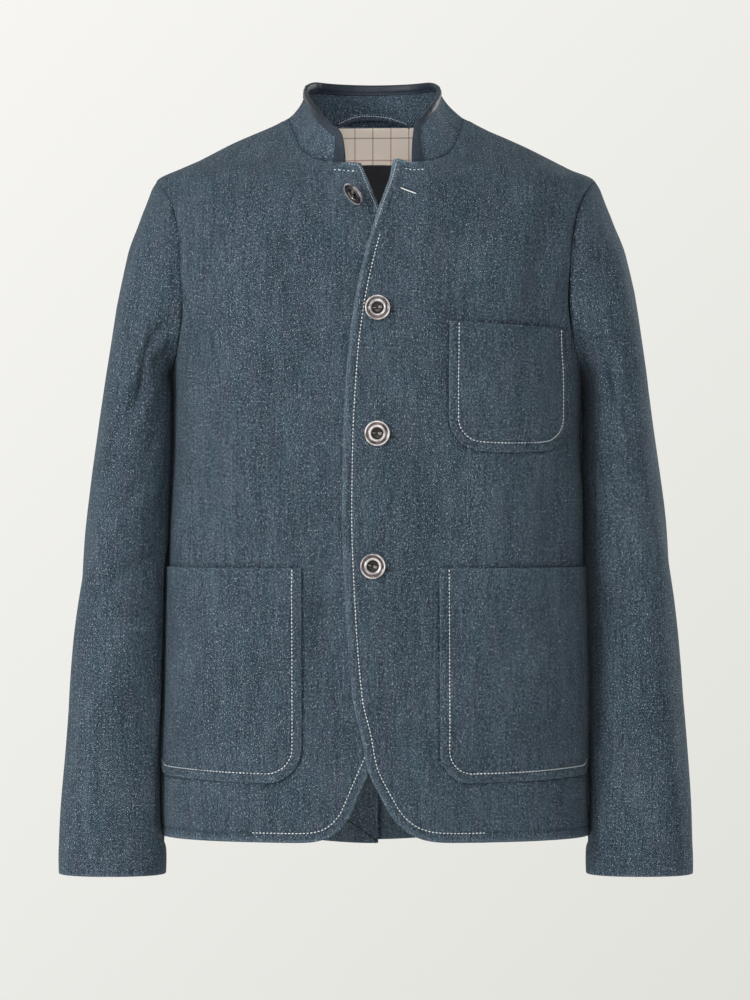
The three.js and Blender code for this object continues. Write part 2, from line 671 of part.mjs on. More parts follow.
const toSolid = (geometry) => new wasm.Manifold(new wasm.Mesh({
  numProp: 3,
  vertProperties: geometry.getAttribute("position").array,
  triVerts: new Uint32Array(geometry.index.array),
}));

function fromSolid(solid) {
  const mesh = solid.getMesh();
  const geometry = new THREE.BufferGeometry();
  geometry.setAttribute("position", new THREE.Float32BufferAttribute(mesh.vertProperties, 3));
  geometry.setIndex(Array.from(mesh.triVerts));
  return geometry;
}

function bare(geometry) {
  geometry.deleteAttribute("normal");
  geometry.deleteAttribute("uv");
  return mergeVertices(geometry, 1e-4);
}

const UP = new THREE.Vector3(0, 1, 0); // the axis of a lathe or a cylinder

// Where a button sits on the overlapping front, with the outward direction there
function onFront(x, z, layer) {
  const turn = turnAt(x, z);
  const normal = bodyNormal(turn, z);
  return { point: body(turn, z).addScaledVector(normal, lapFront(x, z, layer)), normal };
}

// Dished button about +Y with its thread shank, which runs from the middle of its back along a vector
function button(shankRun) {
  const { radius, thick, bowl, rim, dish, shank } = BUTTON;
  const profile = [
    [0, 0],
    [rim, 0],
    [radius - 0.7, 0.5],
    [radius, 0.45 * thick],
    [radius - 0.4, 0.8 * thick],
    [radius - 1.9, thick],
    [rim, 0.9 * thick],
    [bowl, dish],
    [0, dish - 0.2],
  ].map(([r, h]) => new THREE.Vector2(r, h));
  const disc = toSolid(bare(new THREE.LatheGeometry(profile, 32)));
  const inside = 0.6 * thick; // the thread starts this deep in the disc
  const direction = shankRun.clone().normalize();
  const thread = new THREE.CylinderGeometry(shank, shank, shankRun.length() + inside, 10);
  thread.translate(0, (shankRun.length() - inside) / 2, 0);
  thread.applyQuaternion(new THREE.Quaternion().setFromUnitVectors(UP, direction));
  return fromSolid(disc.add(toSolid(bare(thread))));
}

function buttonholes(geometry) {
  const { length, height, from, cut } = BUTTONHOLE;
  let solid = toSolid(geometry);
  const slits = BUTTON_ROWS.map(({ x, z }) => ({ x: x + from + length / 2, z, length }));
  slits.push(TOP_BUTTONHOLE);
  slits.forEach((slit) => {
    const box = new THREE.BoxGeometry(slit.length, cut, height);
    box.translate(slit.x, onFront(slit.x, slit.z, 1).point.y, slit.z);
    solid = solid.subtract(toSolid(bare(box)));
  });
  return fromSolid(solid);
}

const jacket = new THREE.Group();

function add(name, geometry, finish) {
  geometry.computeVertexNormals();
  const mesh = new THREE.Mesh(geometry, new THREE.MeshStandardMaterial({ ...finish, metalness: 0 }));
  mesh.name = name;
  jacket.add(mesh);
  return mesh;
}

add("front_left", buttonholes(frontPanel(FRONT_LEFT)), COLOURS.denim);
add("front_right", frontPanel(FRONT_RIGHT), COLOURS.denim);
add("back_left", backPanel(BACK_LEFT), COLOURS.denim);
add("back_right", backPanel(BACK_RIGHT), COLOURS.denim);
add("sleeve_left", sleeve(1), COLOURS.denim);
add("sleeve_right", sleeve(-1), COLOURS.denim);
add("collar", collar(), COLOURS.denim);
add("collar_binding", binding(), COLOURS.leather);
add("hanger_loop", hangerLoop(), COLOURS.denim);
add("back_neck_lining", lining(), COLOURS.lining);
add("label", label(), COLOURS.label);
add("chest_pocket", pocket(CHEST_POCKET, 1, 1), COLOURS.pocket);
add("hip_pocket_left", pocket(HIP_LEFT, 1, 1), COLOURS.pocket);
add("hip_pocket_right", pocket(HIP_RIGHT, -1, -1), COLOURS.pocket);

// The fastened buttons stand on the left front; their shanks go through it to the right front
BUTTON_ROWS.forEach(({ name, x, z }) => {
  const outer = onFront(x, z, 1);
  const under = onFront(x, z, -1);
  const seat = DENIM / 2 + SEAM_GAP;
  const foot = outer.point.clone().addScaledVector(outer.normal, seat);
  const shankLength = foot.distanceTo(under.point) - seat;
  const mesh = add(name, button(UP.clone().multiplyScalar(-shankLength)), COLOURS.button);
  mesh.position.copy(foot);
  mesh.quaternion.setFromUnitVectors(UP, outer.normal);
});

// The undone button hangs aside on its shank
{
  const { name, x, z, off, tilt, towards } = LOOSE_BUTTON;
  const under = onFront(x, z, -1);
  const facing = new THREE.Vector3(
    -Math.sin(tilt) * Math.cos(towards),
    -Math.cos(tilt),
    -Math.sin(tilt) * Math.sin(towards),
  );
  const turned = new THREE.Quaternion().setFromUnitVectors(UP, facing);
  const run = under.normal.clone().multiplyScalar(DENIM / 2 + SEAM_GAP - off);
  const mesh = add(name, button(run.applyQuaternion(turned.clone().invert())), COLOURS.button);
  mesh.position.copy(under.point).addScaledVector(under.normal, off);
  mesh.quaternion.copy(turned);
}

export default jacket;
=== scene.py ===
"""Denim work jacket, filled out as worn with nobody in it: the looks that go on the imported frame.

The forms are worked out in millimetres from named sizes and become metres when a mesh is made.
+Z is up, the jacket faces -Y, and the wearer's left side is +X, which is on the viewer's right.
"""

import math

import bmesh
import bpy
import numpy as np
from mathutils import Matrix, Vector


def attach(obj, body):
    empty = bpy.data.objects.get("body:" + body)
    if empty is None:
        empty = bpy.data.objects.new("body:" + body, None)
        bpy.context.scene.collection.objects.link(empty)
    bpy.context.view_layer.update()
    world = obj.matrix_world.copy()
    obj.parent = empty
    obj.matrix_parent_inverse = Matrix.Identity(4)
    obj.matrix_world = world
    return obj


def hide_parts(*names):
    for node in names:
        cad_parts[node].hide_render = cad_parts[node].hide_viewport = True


bl_info = {
    "name": "Denim Work Jacket",
    "version": (1, 0, 0),
    "blender": (4, 5, 0),
    "location": "3D View > Sidebar > Jacket",
    "description": "Builds a worn denim work jacket with its topstitching, buttons and bound collar",
    "category": "Object",
}

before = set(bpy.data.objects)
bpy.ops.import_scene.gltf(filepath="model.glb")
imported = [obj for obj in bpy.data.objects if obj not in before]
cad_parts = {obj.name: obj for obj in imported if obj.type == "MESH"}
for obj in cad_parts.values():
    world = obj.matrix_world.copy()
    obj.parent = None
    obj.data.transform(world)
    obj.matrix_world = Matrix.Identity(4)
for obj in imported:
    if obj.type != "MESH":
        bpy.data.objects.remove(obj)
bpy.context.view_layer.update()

MM = 0.001
QUARTER = math.pi / 2


def linear(hex_colour):
    """Turns an sRGB hex value into linear red, green and blue."""
    parts = [int(hex_colour[i : i + 2], 16) / 255 for i in (1, 3, 5)]
    return tuple(p / 12.92 if p <= 0.04045 else ((p + 0.055) / 1.055) ** 2.4 for p in parts)


# Small helpers for smooth shapes


def clamp(value, low=0.0, high=1.0):
    return np.minimum(high, np.maximum(low, value))


def mix(a, b, share):
    return a + (b - a) * share


def ease(share):
    share = clamp(share)
    return share * share * (3 - 2 * share)


def ramp(at, none, full):
    """0 at none, 1 at full, and smooth in between."""
    return ease((at - none) / (full - none))


def bump(value, centre, width):
    return np.exp(-(((value - centre) / width) ** 2))


def signed_power(value, power):
    return np.sign(value) * np.abs(value) ** power


def unit(vectors):
    return vectors / np.maximum(np.linalg.norm(vectors, axis=-1, keepdims=True), 1e-9)


def lengths_along(points):
    """How far along a line of points each of them is."""
    return np.concatenate([[0], np.cumsum(np.linalg.norm(np.diff(points, axis=0), axis=1))])


def lengths_across(points):
    """How far across its own row each point of a grid is."""
    runs = np.cumsum(np.linalg.norm(np.diff(points, axis=1), axis=-1), 1)
    return np.concatenate([np.zeros((len(points), 1)), runs], 1)


def upright(z, y=0.0):
    """Points at these heights on the garment's middle line, or in front of it, to tell in from out."""
    return np.stack([0 * z, 0 * z + y, z], -1)


def ripple(x, z, size_x, size_z, seed, waves=10):
    """An uneven field of soft hills of about that size, mostly between -1 and 1."""
    source = np.random.default_rng(seed)
    total = np.zeros(np.broadcast(x, z).shape)
    for _ in range(waves):
        turn, phase = source.uniform(0, 2 * math.pi, 2)
        pace = source.uniform(0.35, 0.75)
        along = x * math.cos(turn) / size_x + z * math.sin(turn) / size_z
        total += np.sin(2 * math.pi * pace * along + phase)
    return total / math.sqrt(waves)


class Sizes:
    """A table of sizes with named columns, read smoothly at any value of its first column."""

    def __init__(self, names, *rows):
        self.names = names.split()
        self.rows = np.array(sorted(rows), float)

    def read(self, name, at):
        at = np.asarray(at, float)
        x = self.rows[:, 0]
        y = self.rows[:, self.names.index(name)]
        steps = np.diff(x)
        slopes = np.diff(y) / steps
        before, after = slopes[:-1], slopes[1:]
        same = before * after > 0
        inner = np.where(same, 2 * before * after / np.where(same, before + after, 1), 0)
        tangents = np.concatenate([slopes[:1], inner, slopes[-1:]])
        i = np.clip(np.searchsorted(x, at, side="right") - 1, 0, len(steps) - 1)
        t = clamp((at - x[i]) / steps[i])
        return (
            y[i] * (1 + 2 * t) * (1 - t) ** 2
            + tangents[i] * steps[i] * t * (1 - t) ** 2
            + y[i + 1] * t * t * (3 - 2 * t)
            + tangents[i + 1] * steps[i] * t * t * (t - 1)
        )


# Cloth and trim, in millimetres
DENIM = 1.6
POCKET_CLOTH = 1.9
LEATHER = 1.0
LINING = 0.7
LABEL = 0.5
FACING = 0.7  # the folded edges are this much thicker on the inside
STITCH_INSET = 8.1  # topstitching runs this far inside an edge
LAP = 1.35  # how far each layer of a lap moves off the common form
EDGE_STEPS = (0, 0.6, 1.3, 2.2, 3.3, 4.6, 6, 7.2, 8, 8.5, 9, 9.5, 10.1, 11, 12.5, 14.5, 17.5, 21)
SEAM_STEPS = (0, 0.5, 1.1, 1.9, 3, 4.6, 7, 10)
GRID = 4.2  # spacing of the cloth's points away from its edges
RIM_SPANS = 4  # faces round the rim of a wall of cloth
PANEL_SPAN = dict(front=330, back=300)  # a little more than each panel's widest row

# Heights of the main lines
HEM = -685
BACK_HEM = -703
ARM_BOTTOM = -235
ARM_TOP = -54
NECK_SIDE = 6
NECK_BACK = 5
NECK_FRONT = -41
TAB_LOW = -42.5
VENT_TOP = -495
VENT_FADE = -440
VENT_SLOPE = 30  # the top of the vent slants over this height
ARM_FRONT = 62
ARM_BACK = 66
ARM_ROUND = 2.2

# Level sections of the body form: half width, depth to the front and back, and how square each is
BODY = Sizes(
    "z half front back square_front square_back",
    (-710, 206.5, 106, 114, 2.8, 2.6),
    (-600, 205.5, 108, 108, 2.8, 2.6),
    (-480, 201.5, 112, 98, 2.9, 2.6),
    (-380, 199, 116, 95, 2.9, 2.7),
    (-300, 197, 119, 99, 2.9, 2.8),
    (-235, 197, 121, 105, 2.8, 2.8),
    (-190, 204, 120, 108, 2.6, 2.7),
    (-140, 212, 116, 107, 2.5, 2.6),
    (-95, 215, 108, 101, 2.4, 2.4),
    (-70, 214, 100, 94, 2.2, 2.2),
    (-54, 211.5, 93, 88, 2.0, 2.1),
    (-42, 188, 84, 82, 1.8, 2.0),
    (-30, 163, 70, 76, 1.6, 1.9),
    (-18, 138, 56, 70, 1.5, 1.9),
    (-6, 111, 42, 64, 1.5, 1.9),
    (2, 94, 29, 60, 1.5, 2.0),
    (8, 84, 16, 57, 1.5, 2.0),
)
# Free edge of each front seen from the front
EDGE_LEFT = Sizes(
    "z x",
    (-658, 14), (-636, 2), (-616, -7), (-585, -13), (-550, -21), (-460, -28), (-375, -31),
    (-304, -30), (-225, -25.5), (-180, -20), (-135, -11), (-90, 2), (-42, 19),
)
EDGE_RIGHT = Sizes(
    "z x",
    (-661, -26), (-640, -17), (-618, -7.5), (-590, 4), (-540, 18), (-480, 22), (-160, 22),
    (-120, 15), (-85, 2), (-43, -15),
)
# Half width of the front neckline at each height, and its height at each half width
NECKLINE = Sizes("z x", (-41, 31), (-40, 46), (-35.5, 61), (-27, 72), (-10, 80), (6, 85.5))
NECK_RISE = Sizes("x z", (31, -41), (46, -40), (61, -35.5), (72, -27), (80, -10), (85.5, 6))
# How far the rows of a front, or of a back, bend down to the hem's own line
HEM_SHARE = Sizes("z share", (-685, 1), (-662, 0.85), (-635, 0.6), (-605, 0.35), (-575, 0.15), (-540, 0))
BACK_SHARE = Sizes("z share", (-685, 1), (-650, 0.75), (-600, 0.4), (-550, 0.1), (-495, 0))

FRONT_LEFT = dict(
    side=1, seam=2, away=-1, edge=EDGE_LEFT, corner_x=14, lift=27, reach=75,
    layer=1, collar_end=36, tab_stop=28.5, peak=4.5, seed=11,
)
FRONT_RIGHT = dict(
    side=-1, seam=0, away=1, edge=EDGE_RIGHT, corner_x=26, lift=24, reach=60,
    layer=-1, collar_end=-31, tab_stop=21, peak=0.0, seed=23,
)
TAB_X = 19
BACK_LEFT = dict(seam=2, away=1, centre=0.82, vent=-33, layer=1, seed=37)
BACK_RIGHT = dict(seam=4, away=-1, centre=-0.82, vent=1.4, layer=-1, seed=41)

# Folds given one by one: from one point to another seen from the front or the back, how far the line
# bows sideways, its half width and its depth, where a ridge has a depth below zero
FOLDS = "x0 z0 x1 z1 bow width depth"
FRONT_LEFT_FOLDS = Sizes(
    FOLDS,
    (172, -70, 150, -215, 6, 12, 2.4), (186, -150, 168, -262, 4, 9, 1.8),
    (120, -62, 60, -170, 10, 22, 2.2), (60, -330, 46, -560, -8, 26, 2.6),
    (112, -340, 118, -430, 6, 24, -2.0), (20, -190, 70, -250, 5, 14, 1.4),
    (22, -310, 74, -372, 6, 15, 1.3), (30, -610, 96, -672, 4, 20, -1.8),
    (176, -330, 172, -420, 5, 12, 1.6), (44, -60, 30, -130, 4, 14, 2.0),
)
FRONT_RIGHT_FOLDS = Sizes(
    FOLDS,
    (-176, -72, -158, -210, -6, 12, 2.4), (-186, -160, -166, -270, -4, 9, 1.7),
    (-118, -66, -52, -200, -12, 24, 2.4), (-66, -190, -88, -420, 10, 24, 2.8),
    (-58, -350, -48, -560, -6, 16, 3.2), (-112, -240, -128, -420, 6, 26, -2.4),
    (-30, -560, -60, -668, 6, 18, -2.2), (-152, -330, -160, -418, 4, 14, 1.8),
    (-42, -70, -36, -150, 4, 14, 1.6),
)
BACK_FOLDS = Sizes(
    FOLDS,
    (-150, -80, -120, -230, 8, 16, 2.4), (152, -84, 118, -240, -8, 17, 2.2),
    (-92, -300, -104, -520, 8, 24, 2.6), (84, -280, 98, -500, -8, 22, 2.8),
    (-30, -60, -66, -190, 6, 20, 1.8), (44, -330, 36, -560, 5, 16, 1.8),
    (-140, -420, -150, -640, 6, 20, -2.2), (146, -400, 152, -620, 6, 22, -2.0),
    (-176, -250, -168, -380, 4, 10, 1.8), (178, -244, 170, -370, 4, 11, 1.7),
)
FOLD_DEPTH = 1.35  # all the folds' depths are taken this many times


def folds_at(folds, x, z):
    """How far the cloth goes in at each point for a table of folds."""
    total = np.zeros(np.broadcast(x, z).shape)
    for x0, z0, x1, z1, bow, width, depth in folds.rows:
        run = math.hypot(x1 - x0, z1 - z0)
        along = ((x - x0) * (x1 - x0) + (z - z0) * (z1 - z0)) / run**2
        aside = ((x - x0) * (z1 - z0) - (z - z0) * (x1 - x0)) / run - bow * np.sin(math.pi * clamp(along))
        taper = np.sin(math.pi * clamp((along + 0.12) / 1.24)) ** 0.8
        valley = np.exp(-((aside / width) ** 2)) - 0.32 * bump(np.abs(aside), 1.9 * width, 0.9 * width)
        total += FOLD_DEPTH * depth * taper * valley
    return total


def section(ahead, z):
    """How square and how deep the body form is in front of its side seams, or behind them."""
    square = np.where(ahead, BODY.read("square_front", z), BODY.read("square_back", z))
    return square, np.where(ahead, BODY.read("front", z), BODY.read("back", z))


def body(turn, z):
    """Points of the body form. The turn is 0 at the right side seam, 1 at the centre front,
    2 at the left side seam and 3 at the centre back."""
    turn, z = np.broadcast_arrays(np.asarray(turn, float), np.asarray(z, float))
    ahead = np.sin(turn * QUARTER) >= 0
    square, depth = section(ahead, z)
    across = np.cos(turn * QUARTER)
    deep = depth * np.sqrt(clamp(1 - np.abs(across) ** square))
    return np.stack([-BODY.read("half", z) * across, np.where(ahead, -deep, deep), z], -1)


def body_normal(turn, z):
    across = body(turn + 0.01, z) - body(turn - 0.01, z)
    up = body(turn, z + 1) - body(turn, z - 1)
    return unit(np.cross(across, up))


def turn_at(x, z, back=False):
    """The turn at which the front, or the back, of the body form has that x."""
    quarter = np.arccos(clamp(np.abs(x) / BODY.read("half", z))) / QUARTER
    if back:
        return np.where(x < 0, 4 - quarter, 2 + quarter)
    return np.where(x < 0, quarter, 2 - quarter)


def arm_turn(z, face):
    """The turn from the side seam to the armhole's edge at each height."""
    middle = (ARM_TOP + ARM_BOTTOM) / 2
    reach = clamp(np.abs(z - middle) / (ARM_TOP - middle))
    deep = (ARM_FRONT if face == "front" else ARM_BACK) * (1 - reach**ARM_ROUND) ** (1 / ARM_ROUND)
    share = clamp(1 - (deep / BODY.read(face, z)) ** 2)
    return np.arccos(share ** (1 / BODY.read("square_" + face, z))) / QUARTER


def spread(total, near, far, spacing):
    """Distances from 0 to total, closer together at both ends."""
    near, far = np.array(near, float), np.array(far, float)
    room = total - near[-1] - far[-1]
    count = max(3, int(round(room / spacing)))
    middle = near[-1] + room * np.arange(1, count) / count
    return np.concatenate([near, middle, (total - far)[::-1]])


def panel_rows(bottom, top_rows, extra):
    """Heights of a panel's rows, close together at the hem, the armhole's ends and where extra says."""
    low = spread(ARM_BOTTOM - bottom, EDGE_STEPS, (0, 1), GRID) + bottom
    turn = np.linspace(0, math.pi, 50)
    arm = mix(ARM_BOTTOM, ARM_TOP, (1 - np.cos(turn)) / 2)
    rows = np.concatenate([low, arm[1:], top_rows])
    for value, reach in extra:
        rows = rows[np.abs(rows - value) > reach]
        rows = np.concatenate([rows, value + reach * np.linspace(-1, 1, 13)])
    return np.unique(np.round(rows, 4))


def distance_to(path, x, z):
    """Distance from each point to a line of (x, z) points, worked out a block at a time."""
    flat_x, flat_z = np.ravel(x), np.ravel(z)
    start, run = path[:-1], np.diff(path, axis=0)
    length = np.maximum((run**2).sum(1), 1e-9)
    found = np.empty(flat_x.shape)
    for k in range(0, flat_x.size, 4000):
        dx = flat_x[k : k + 4000, None] - start[:, 0]
        dz = flat_z[k : k + 4000, None] - start[:, 1]
        t = clamp((dx * run[:, 0] + dz * run[:, 1]) / length)
        found[k : k + 4000] = np.sqrt(((dx - t * run[:, 0]) ** 2 + (dz - t * run[:, 1]) ** 2).min(1))
    return found.reshape(np.shape(x))


def sewn_edge(inside, x, z, seed):
    """Relief along a folded and topstitched edge: a soft roll, the stitches' groove and small puckers."""
    pucker = ripple(x, z, 7, 7, seed)
    slack = ripple(x, z, 16, 16, seed + 1)
    roll = 0.42 * np.sin(math.pi * clamp(inside / STITCH_INSET)) * (1 + 0.35 * slack)
    groove = -0.55 * bump(inside, STITCH_INSET, 1.0) * (1 + 0.35 * pucker)
    swell = 0.22 * bump(inside, STITCH_INSET + 3.5, 3.2) * (1 + 0.9 * slack)
    return roll + groove + swell


def plain_seam(inside, x, z, seed, dip=0.45):
    """Relief beside a plain seam: the cloth dips into it, with the turnings pressed out behind."""
    slack = ripple(x, z, 18, 18, seed)
    return -dip * bump(inside, 0, 1.5) + 0.3 * (1 + 0.6 * slack) * bump(inside, 6, 4.5)


# Front and back panels


def front_inner(panel, z):
    """The x of a front's free edge, or of the neckline above it, for a row of that height."""
    corner_z = z + HEM_SHARE.read("share", z) * panel["lift"]
    low = panel["edge"].read("x", corner_z)
    high = panel["side"] * np.maximum(NECKLINE.read("x", z), abs(panel["collar_end"]))
    return mix(low, high, clamp((z - TAB_LOW) / (NECK_FRONT - TAB_LOW))), corner_z


def front_height(panel, x, z):
    """Bends a front's rows: the rounded corner lifts them and the top corner peaks."""
    near = clamp(1 - (panel["side"] * x - panel["corner_x"]) / panel["reach"])
    lifted = z + HEM_SHARE.read("share", z) * panel["lift"] * near**4
    peak = panel["peak"] * ramp(x, panel["collar_end"], TAB_X) * ramp(z, -60, -44)
    return lifted + np.where(z < NECK_FRONT, peak * clamp((NECK_FRONT - z) / 1.5), 0)


def front_lap(panel, x, z):
    over = panel["layer"] > 0
    near = ramp(x, 80, 30) if over else ramp(x, -80, -40)
    return panel["layer"] * LAP * near * ramp(z, -50, -95)


def front_outline(panel):
    """The sewn edge of a front seen from the front: tab, free edge, rounded corner and hem."""
    collar_end = panel["collar_end"]
    tab = np.linspace(0, 1, 8)[:-1]
    inner, _ = front_inner(panel, np.array([TAB_LOW]))
    top = np.stack([mix(collar_end, inner[0], tab), mix(NECK_FRONT, TAB_LOW + panel["peak"], tab)], -1)
    rows = np.concatenate([np.linspace(TAB_LOW, HEM + 2, 150), [HEM]])
    edge_x, _ = front_inner(panel, rows)
    edge = np.stack([edge_x, front_height(panel, edge_x, rows)], -1)
    turns = np.linspace(turn_at(edge_x[-1], HEM), panel["seam"], 90)
    hem_x = body(turns, HEM)[..., 0]
    hem = np.stack([hem_x, front_height(panel, hem_x, np.full(90, HEM))], -1)
    return np.concatenate([top, edge, hem[1:]])


def off_seam(panel, turn, z):
    """How far a panel's points are from its side seam or armhole."""
    return np.abs(turn - panel["start"](z)) * panel["per_turn"](z)


def front_surface(panel, turn, z):
    """The middle of a front's cloth where the body form has that turn and height."""
    point = body(turn, z)
    x = point[..., 0]
    inside = distance_to(panel["outline"], x, z)
    folds = FRONT_LEFT_FOLDS if panel["side"] > 0 else FRONT_RIGHT_FOLDS
    loose = 1 - 0.85 * ramp(inside, 26, 0)
    drift = 1.5 * ripple(x, z, 75, 170, panel["seed"]) + 0.5 * ripple(x, z, 26, 60, panel["seed"] + 1)
    calm = 1 - 0.75 * ramp(z, -60, -20)
    lift = front_lap(panel, x, z) + sewn_edge(inside, x, z, panel["seed"] + 2)
    lift = lift - folds_at(folds, x, z) * loose * calm + drift * loose * calm * ramp(np.abs(x), 0, 60)
    from_seam = off_seam(panel, turn, z)
    lift = lift + plain_seam(from_seam, x, z, panel["seed"] + 3)
    return point + body_normal(turn, z) * lift[..., None]


def back_inner(panel, z):
    """The x of a back's inner edge: the vent's free edge, and the centre seam above it."""
    return mix(panel["vent"], panel["centre"], clamp((z - VENT_TOP) / VENT_SLOPE))


def back_surface(panel, turn, z):
    """The middle of a back's cloth where the body form has that turn and height."""
    point = body(turn, z)
    x = point[..., 0]
    over = panel["layer"] > 0
    near = ramp(x, 55, 15) if over else ramp(x, -75, -45)
    lift = panel["layer"] * LAP * near * ramp(z, VENT_FADE, VENT_TOP)
    calm = ramp(np.abs(x), 4, 46) * (1 - 0.7 * ramp(z, -50, -10))
    drift = 1.8 * ripple(x, z, 85, 180, 53) + 0.55 * ripple(x, z, 30, 70, 54)
    lift = lift + (1.2 * drift - 1.6 * folds_at(BACK_FOLDS, x, z)) * calm
    from_seam = off_seam(panel, turn, z)
    above_vent = ramp(z, VENT_TOP + VENT_SLOPE - 4, VENT_TOP + VENT_SLOPE + 4)
    lift = lift + plain_seam(from_seam, x, z, panel["seed"])
    lift = lift + plain_seam(np.abs(x), x, z, panel["seed"] + 1) * above_vent
    inner_edge = np.abs(x - back_inner(panel, z))
    lift = lift + 0.35 * np.sin(math.pi * clamp(inner_edge / 12)) * (1 - above_vent)
    return point + body_normal(turn, z) * lift[..., None]


def surface_normal(surface, panel, turn, z):
    """The outward direction of a panel's cloth, taken over about 3 mm."""
    step = 1.5 / panel["per_turn"](z)
    across = surface(panel, turn + step, z) - surface(panel, turn - step, z)
    up = surface(panel, turn, z + 1.5) - surface(panel, turn, z - 1.5)
    return unit(np.cross(across, up))


def prepare(panel, face):
    """Adds to a panel where its side edge starts, how long a turn is there and its outline."""
    seam, away = panel["seam"], panel["away"]

    def per_turn(z):
        near = seam + away * 0.05
        return np.linalg.norm(body(near + 0.02, z) - body(near - 0.02, z), axis=-1) / 0.04

    panel["per_turn"] = per_turn
    panel["start"] = lambda z: seam + away * (arm_turn(z, face) + (DENIM / 2 + 0.02) / per_turn(z))
    if face == "front":
        panel["outline"] = front_outline(panel)


for each in (FRONT_LEFT, FRONT_RIGHT):
    prepare(each, "front")
for each in (BACK_LEFT, BACK_RIGHT):
    prepare(each, "back")


def panel_grid(panel, face):
    """The turns, heights and pattern coordinates of a front's or a back's grid of points."""
    front = face == "front"
    if front:
        neck = np.concatenate([np.linspace(NECK_FRONT, -20, 18), np.linspace(-18.8, NECK_SIDE - 0.5, 20)])
        top_rows = np.concatenate([np.linspace(ARM_TOP + 1, TAB_LOW, 8), neck])
        rows = panel_rows(HEM, top_rows, [((TAB_LOW + NECK_FRONT) / 2, 0.75)])
    else:
        top_rows = np.linspace(ARM_TOP + 1, NECK_BACK - 0.5, 40)
        rows = panel_rows(HEM, top_rows, [(VENT_TOP + VENT_SLOPE / 2, VENT_SLOPE / 2)])
    centre = 1 if front else 3
    seam, away = panel["seam"], panel["away"]
    starts = panel["start"](rows)
    if front:
        inner_x, inner_z = front_inner(panel, rows)
        ends = turn_at(inner_x, inner_z)
    else:
        ends = turn_at(back_inner(panel, rows), rows, back=True)
    count = int(np.ceil(PANEL_SPAN[face] / GRID)) - len(EDGE_STEPS)
    turns, across = [], []
    for z, start, end in zip(rows, starts, ends):
        fine = np.linspace(seam, centre + away * 0.5, 260)
        length = lengths_along(body(fine, np.full(260, z)))
        order = slice(None) if away > 0 else slice(None, None, -1)

        def at(turn):
            return np.interp(turn, fine[order], length[order])

        first, last, middle = at(start), at(end), at(centre)
        total = last - first
        squeeze = min(1, total / 60)
        near = np.array(SEAM_STEPS) * squeeze
        far = np.array(EDGE_STEPS if front else EDGE_STEPS[:12]) * squeeze
        room = total - near[-1] - far[-1]
        inner = near[-1] + room * np.arange(1, count) / count
        steps = np.concatenate([near, inner, (total - far)[::-1]]) + first
        turns.append(np.interp(steps, length, fine))
        across.append((steps - middle) * away)
    turns = np.array(turns)
    heights = np.repeat(rows[:, None], turns.shape[1], 1)
    x = body(turns, heights)[..., 0]
    if front:
        heights = front_height(panel, x, heights)
    else:
        half = BODY.read("half", heights)
        drop = BACK_SHARE.read("share", heights) * (BACK_HEM - HEM) * (0.8 if panel["layer"] > 0 else 1)
        heights = heights + drop * ease(1 - np.abs(x) / half)
    return turns, heights, np.array(across)


# Turning grids of points into cloth


def grid_normals(points, closed):
    """Directions across a grid of points, from each point's neighbours."""
    if closed:
        across = np.roll(points, -1, 1) - np.roll(points, 1, 1)
    else:
        across = np.gradient(points, axis=1)
    return unit(np.cross(across, np.gradient(points, axis=0)))


def boundary_loops(rows, columns, closed):
    """Row and column of each point round the edge of a grid, one loop for each open edge."""
    if closed:
        around = np.arange(columns)
        return [np.stack([np.full(columns, i), around], 1) for i in (0, rows - 1)]
    top = [(rows - 1, j) for j in range(columns - 1, -1, -1)]
    left = [(i, 0) for i in range(rows - 2, 0, -1)]
    bottom = [(0, j) for j in range(columns)]
    right = [(i, columns - 1) for i in range(1, rows - 1)]
    return [np.array(bottom + right + top + left)]


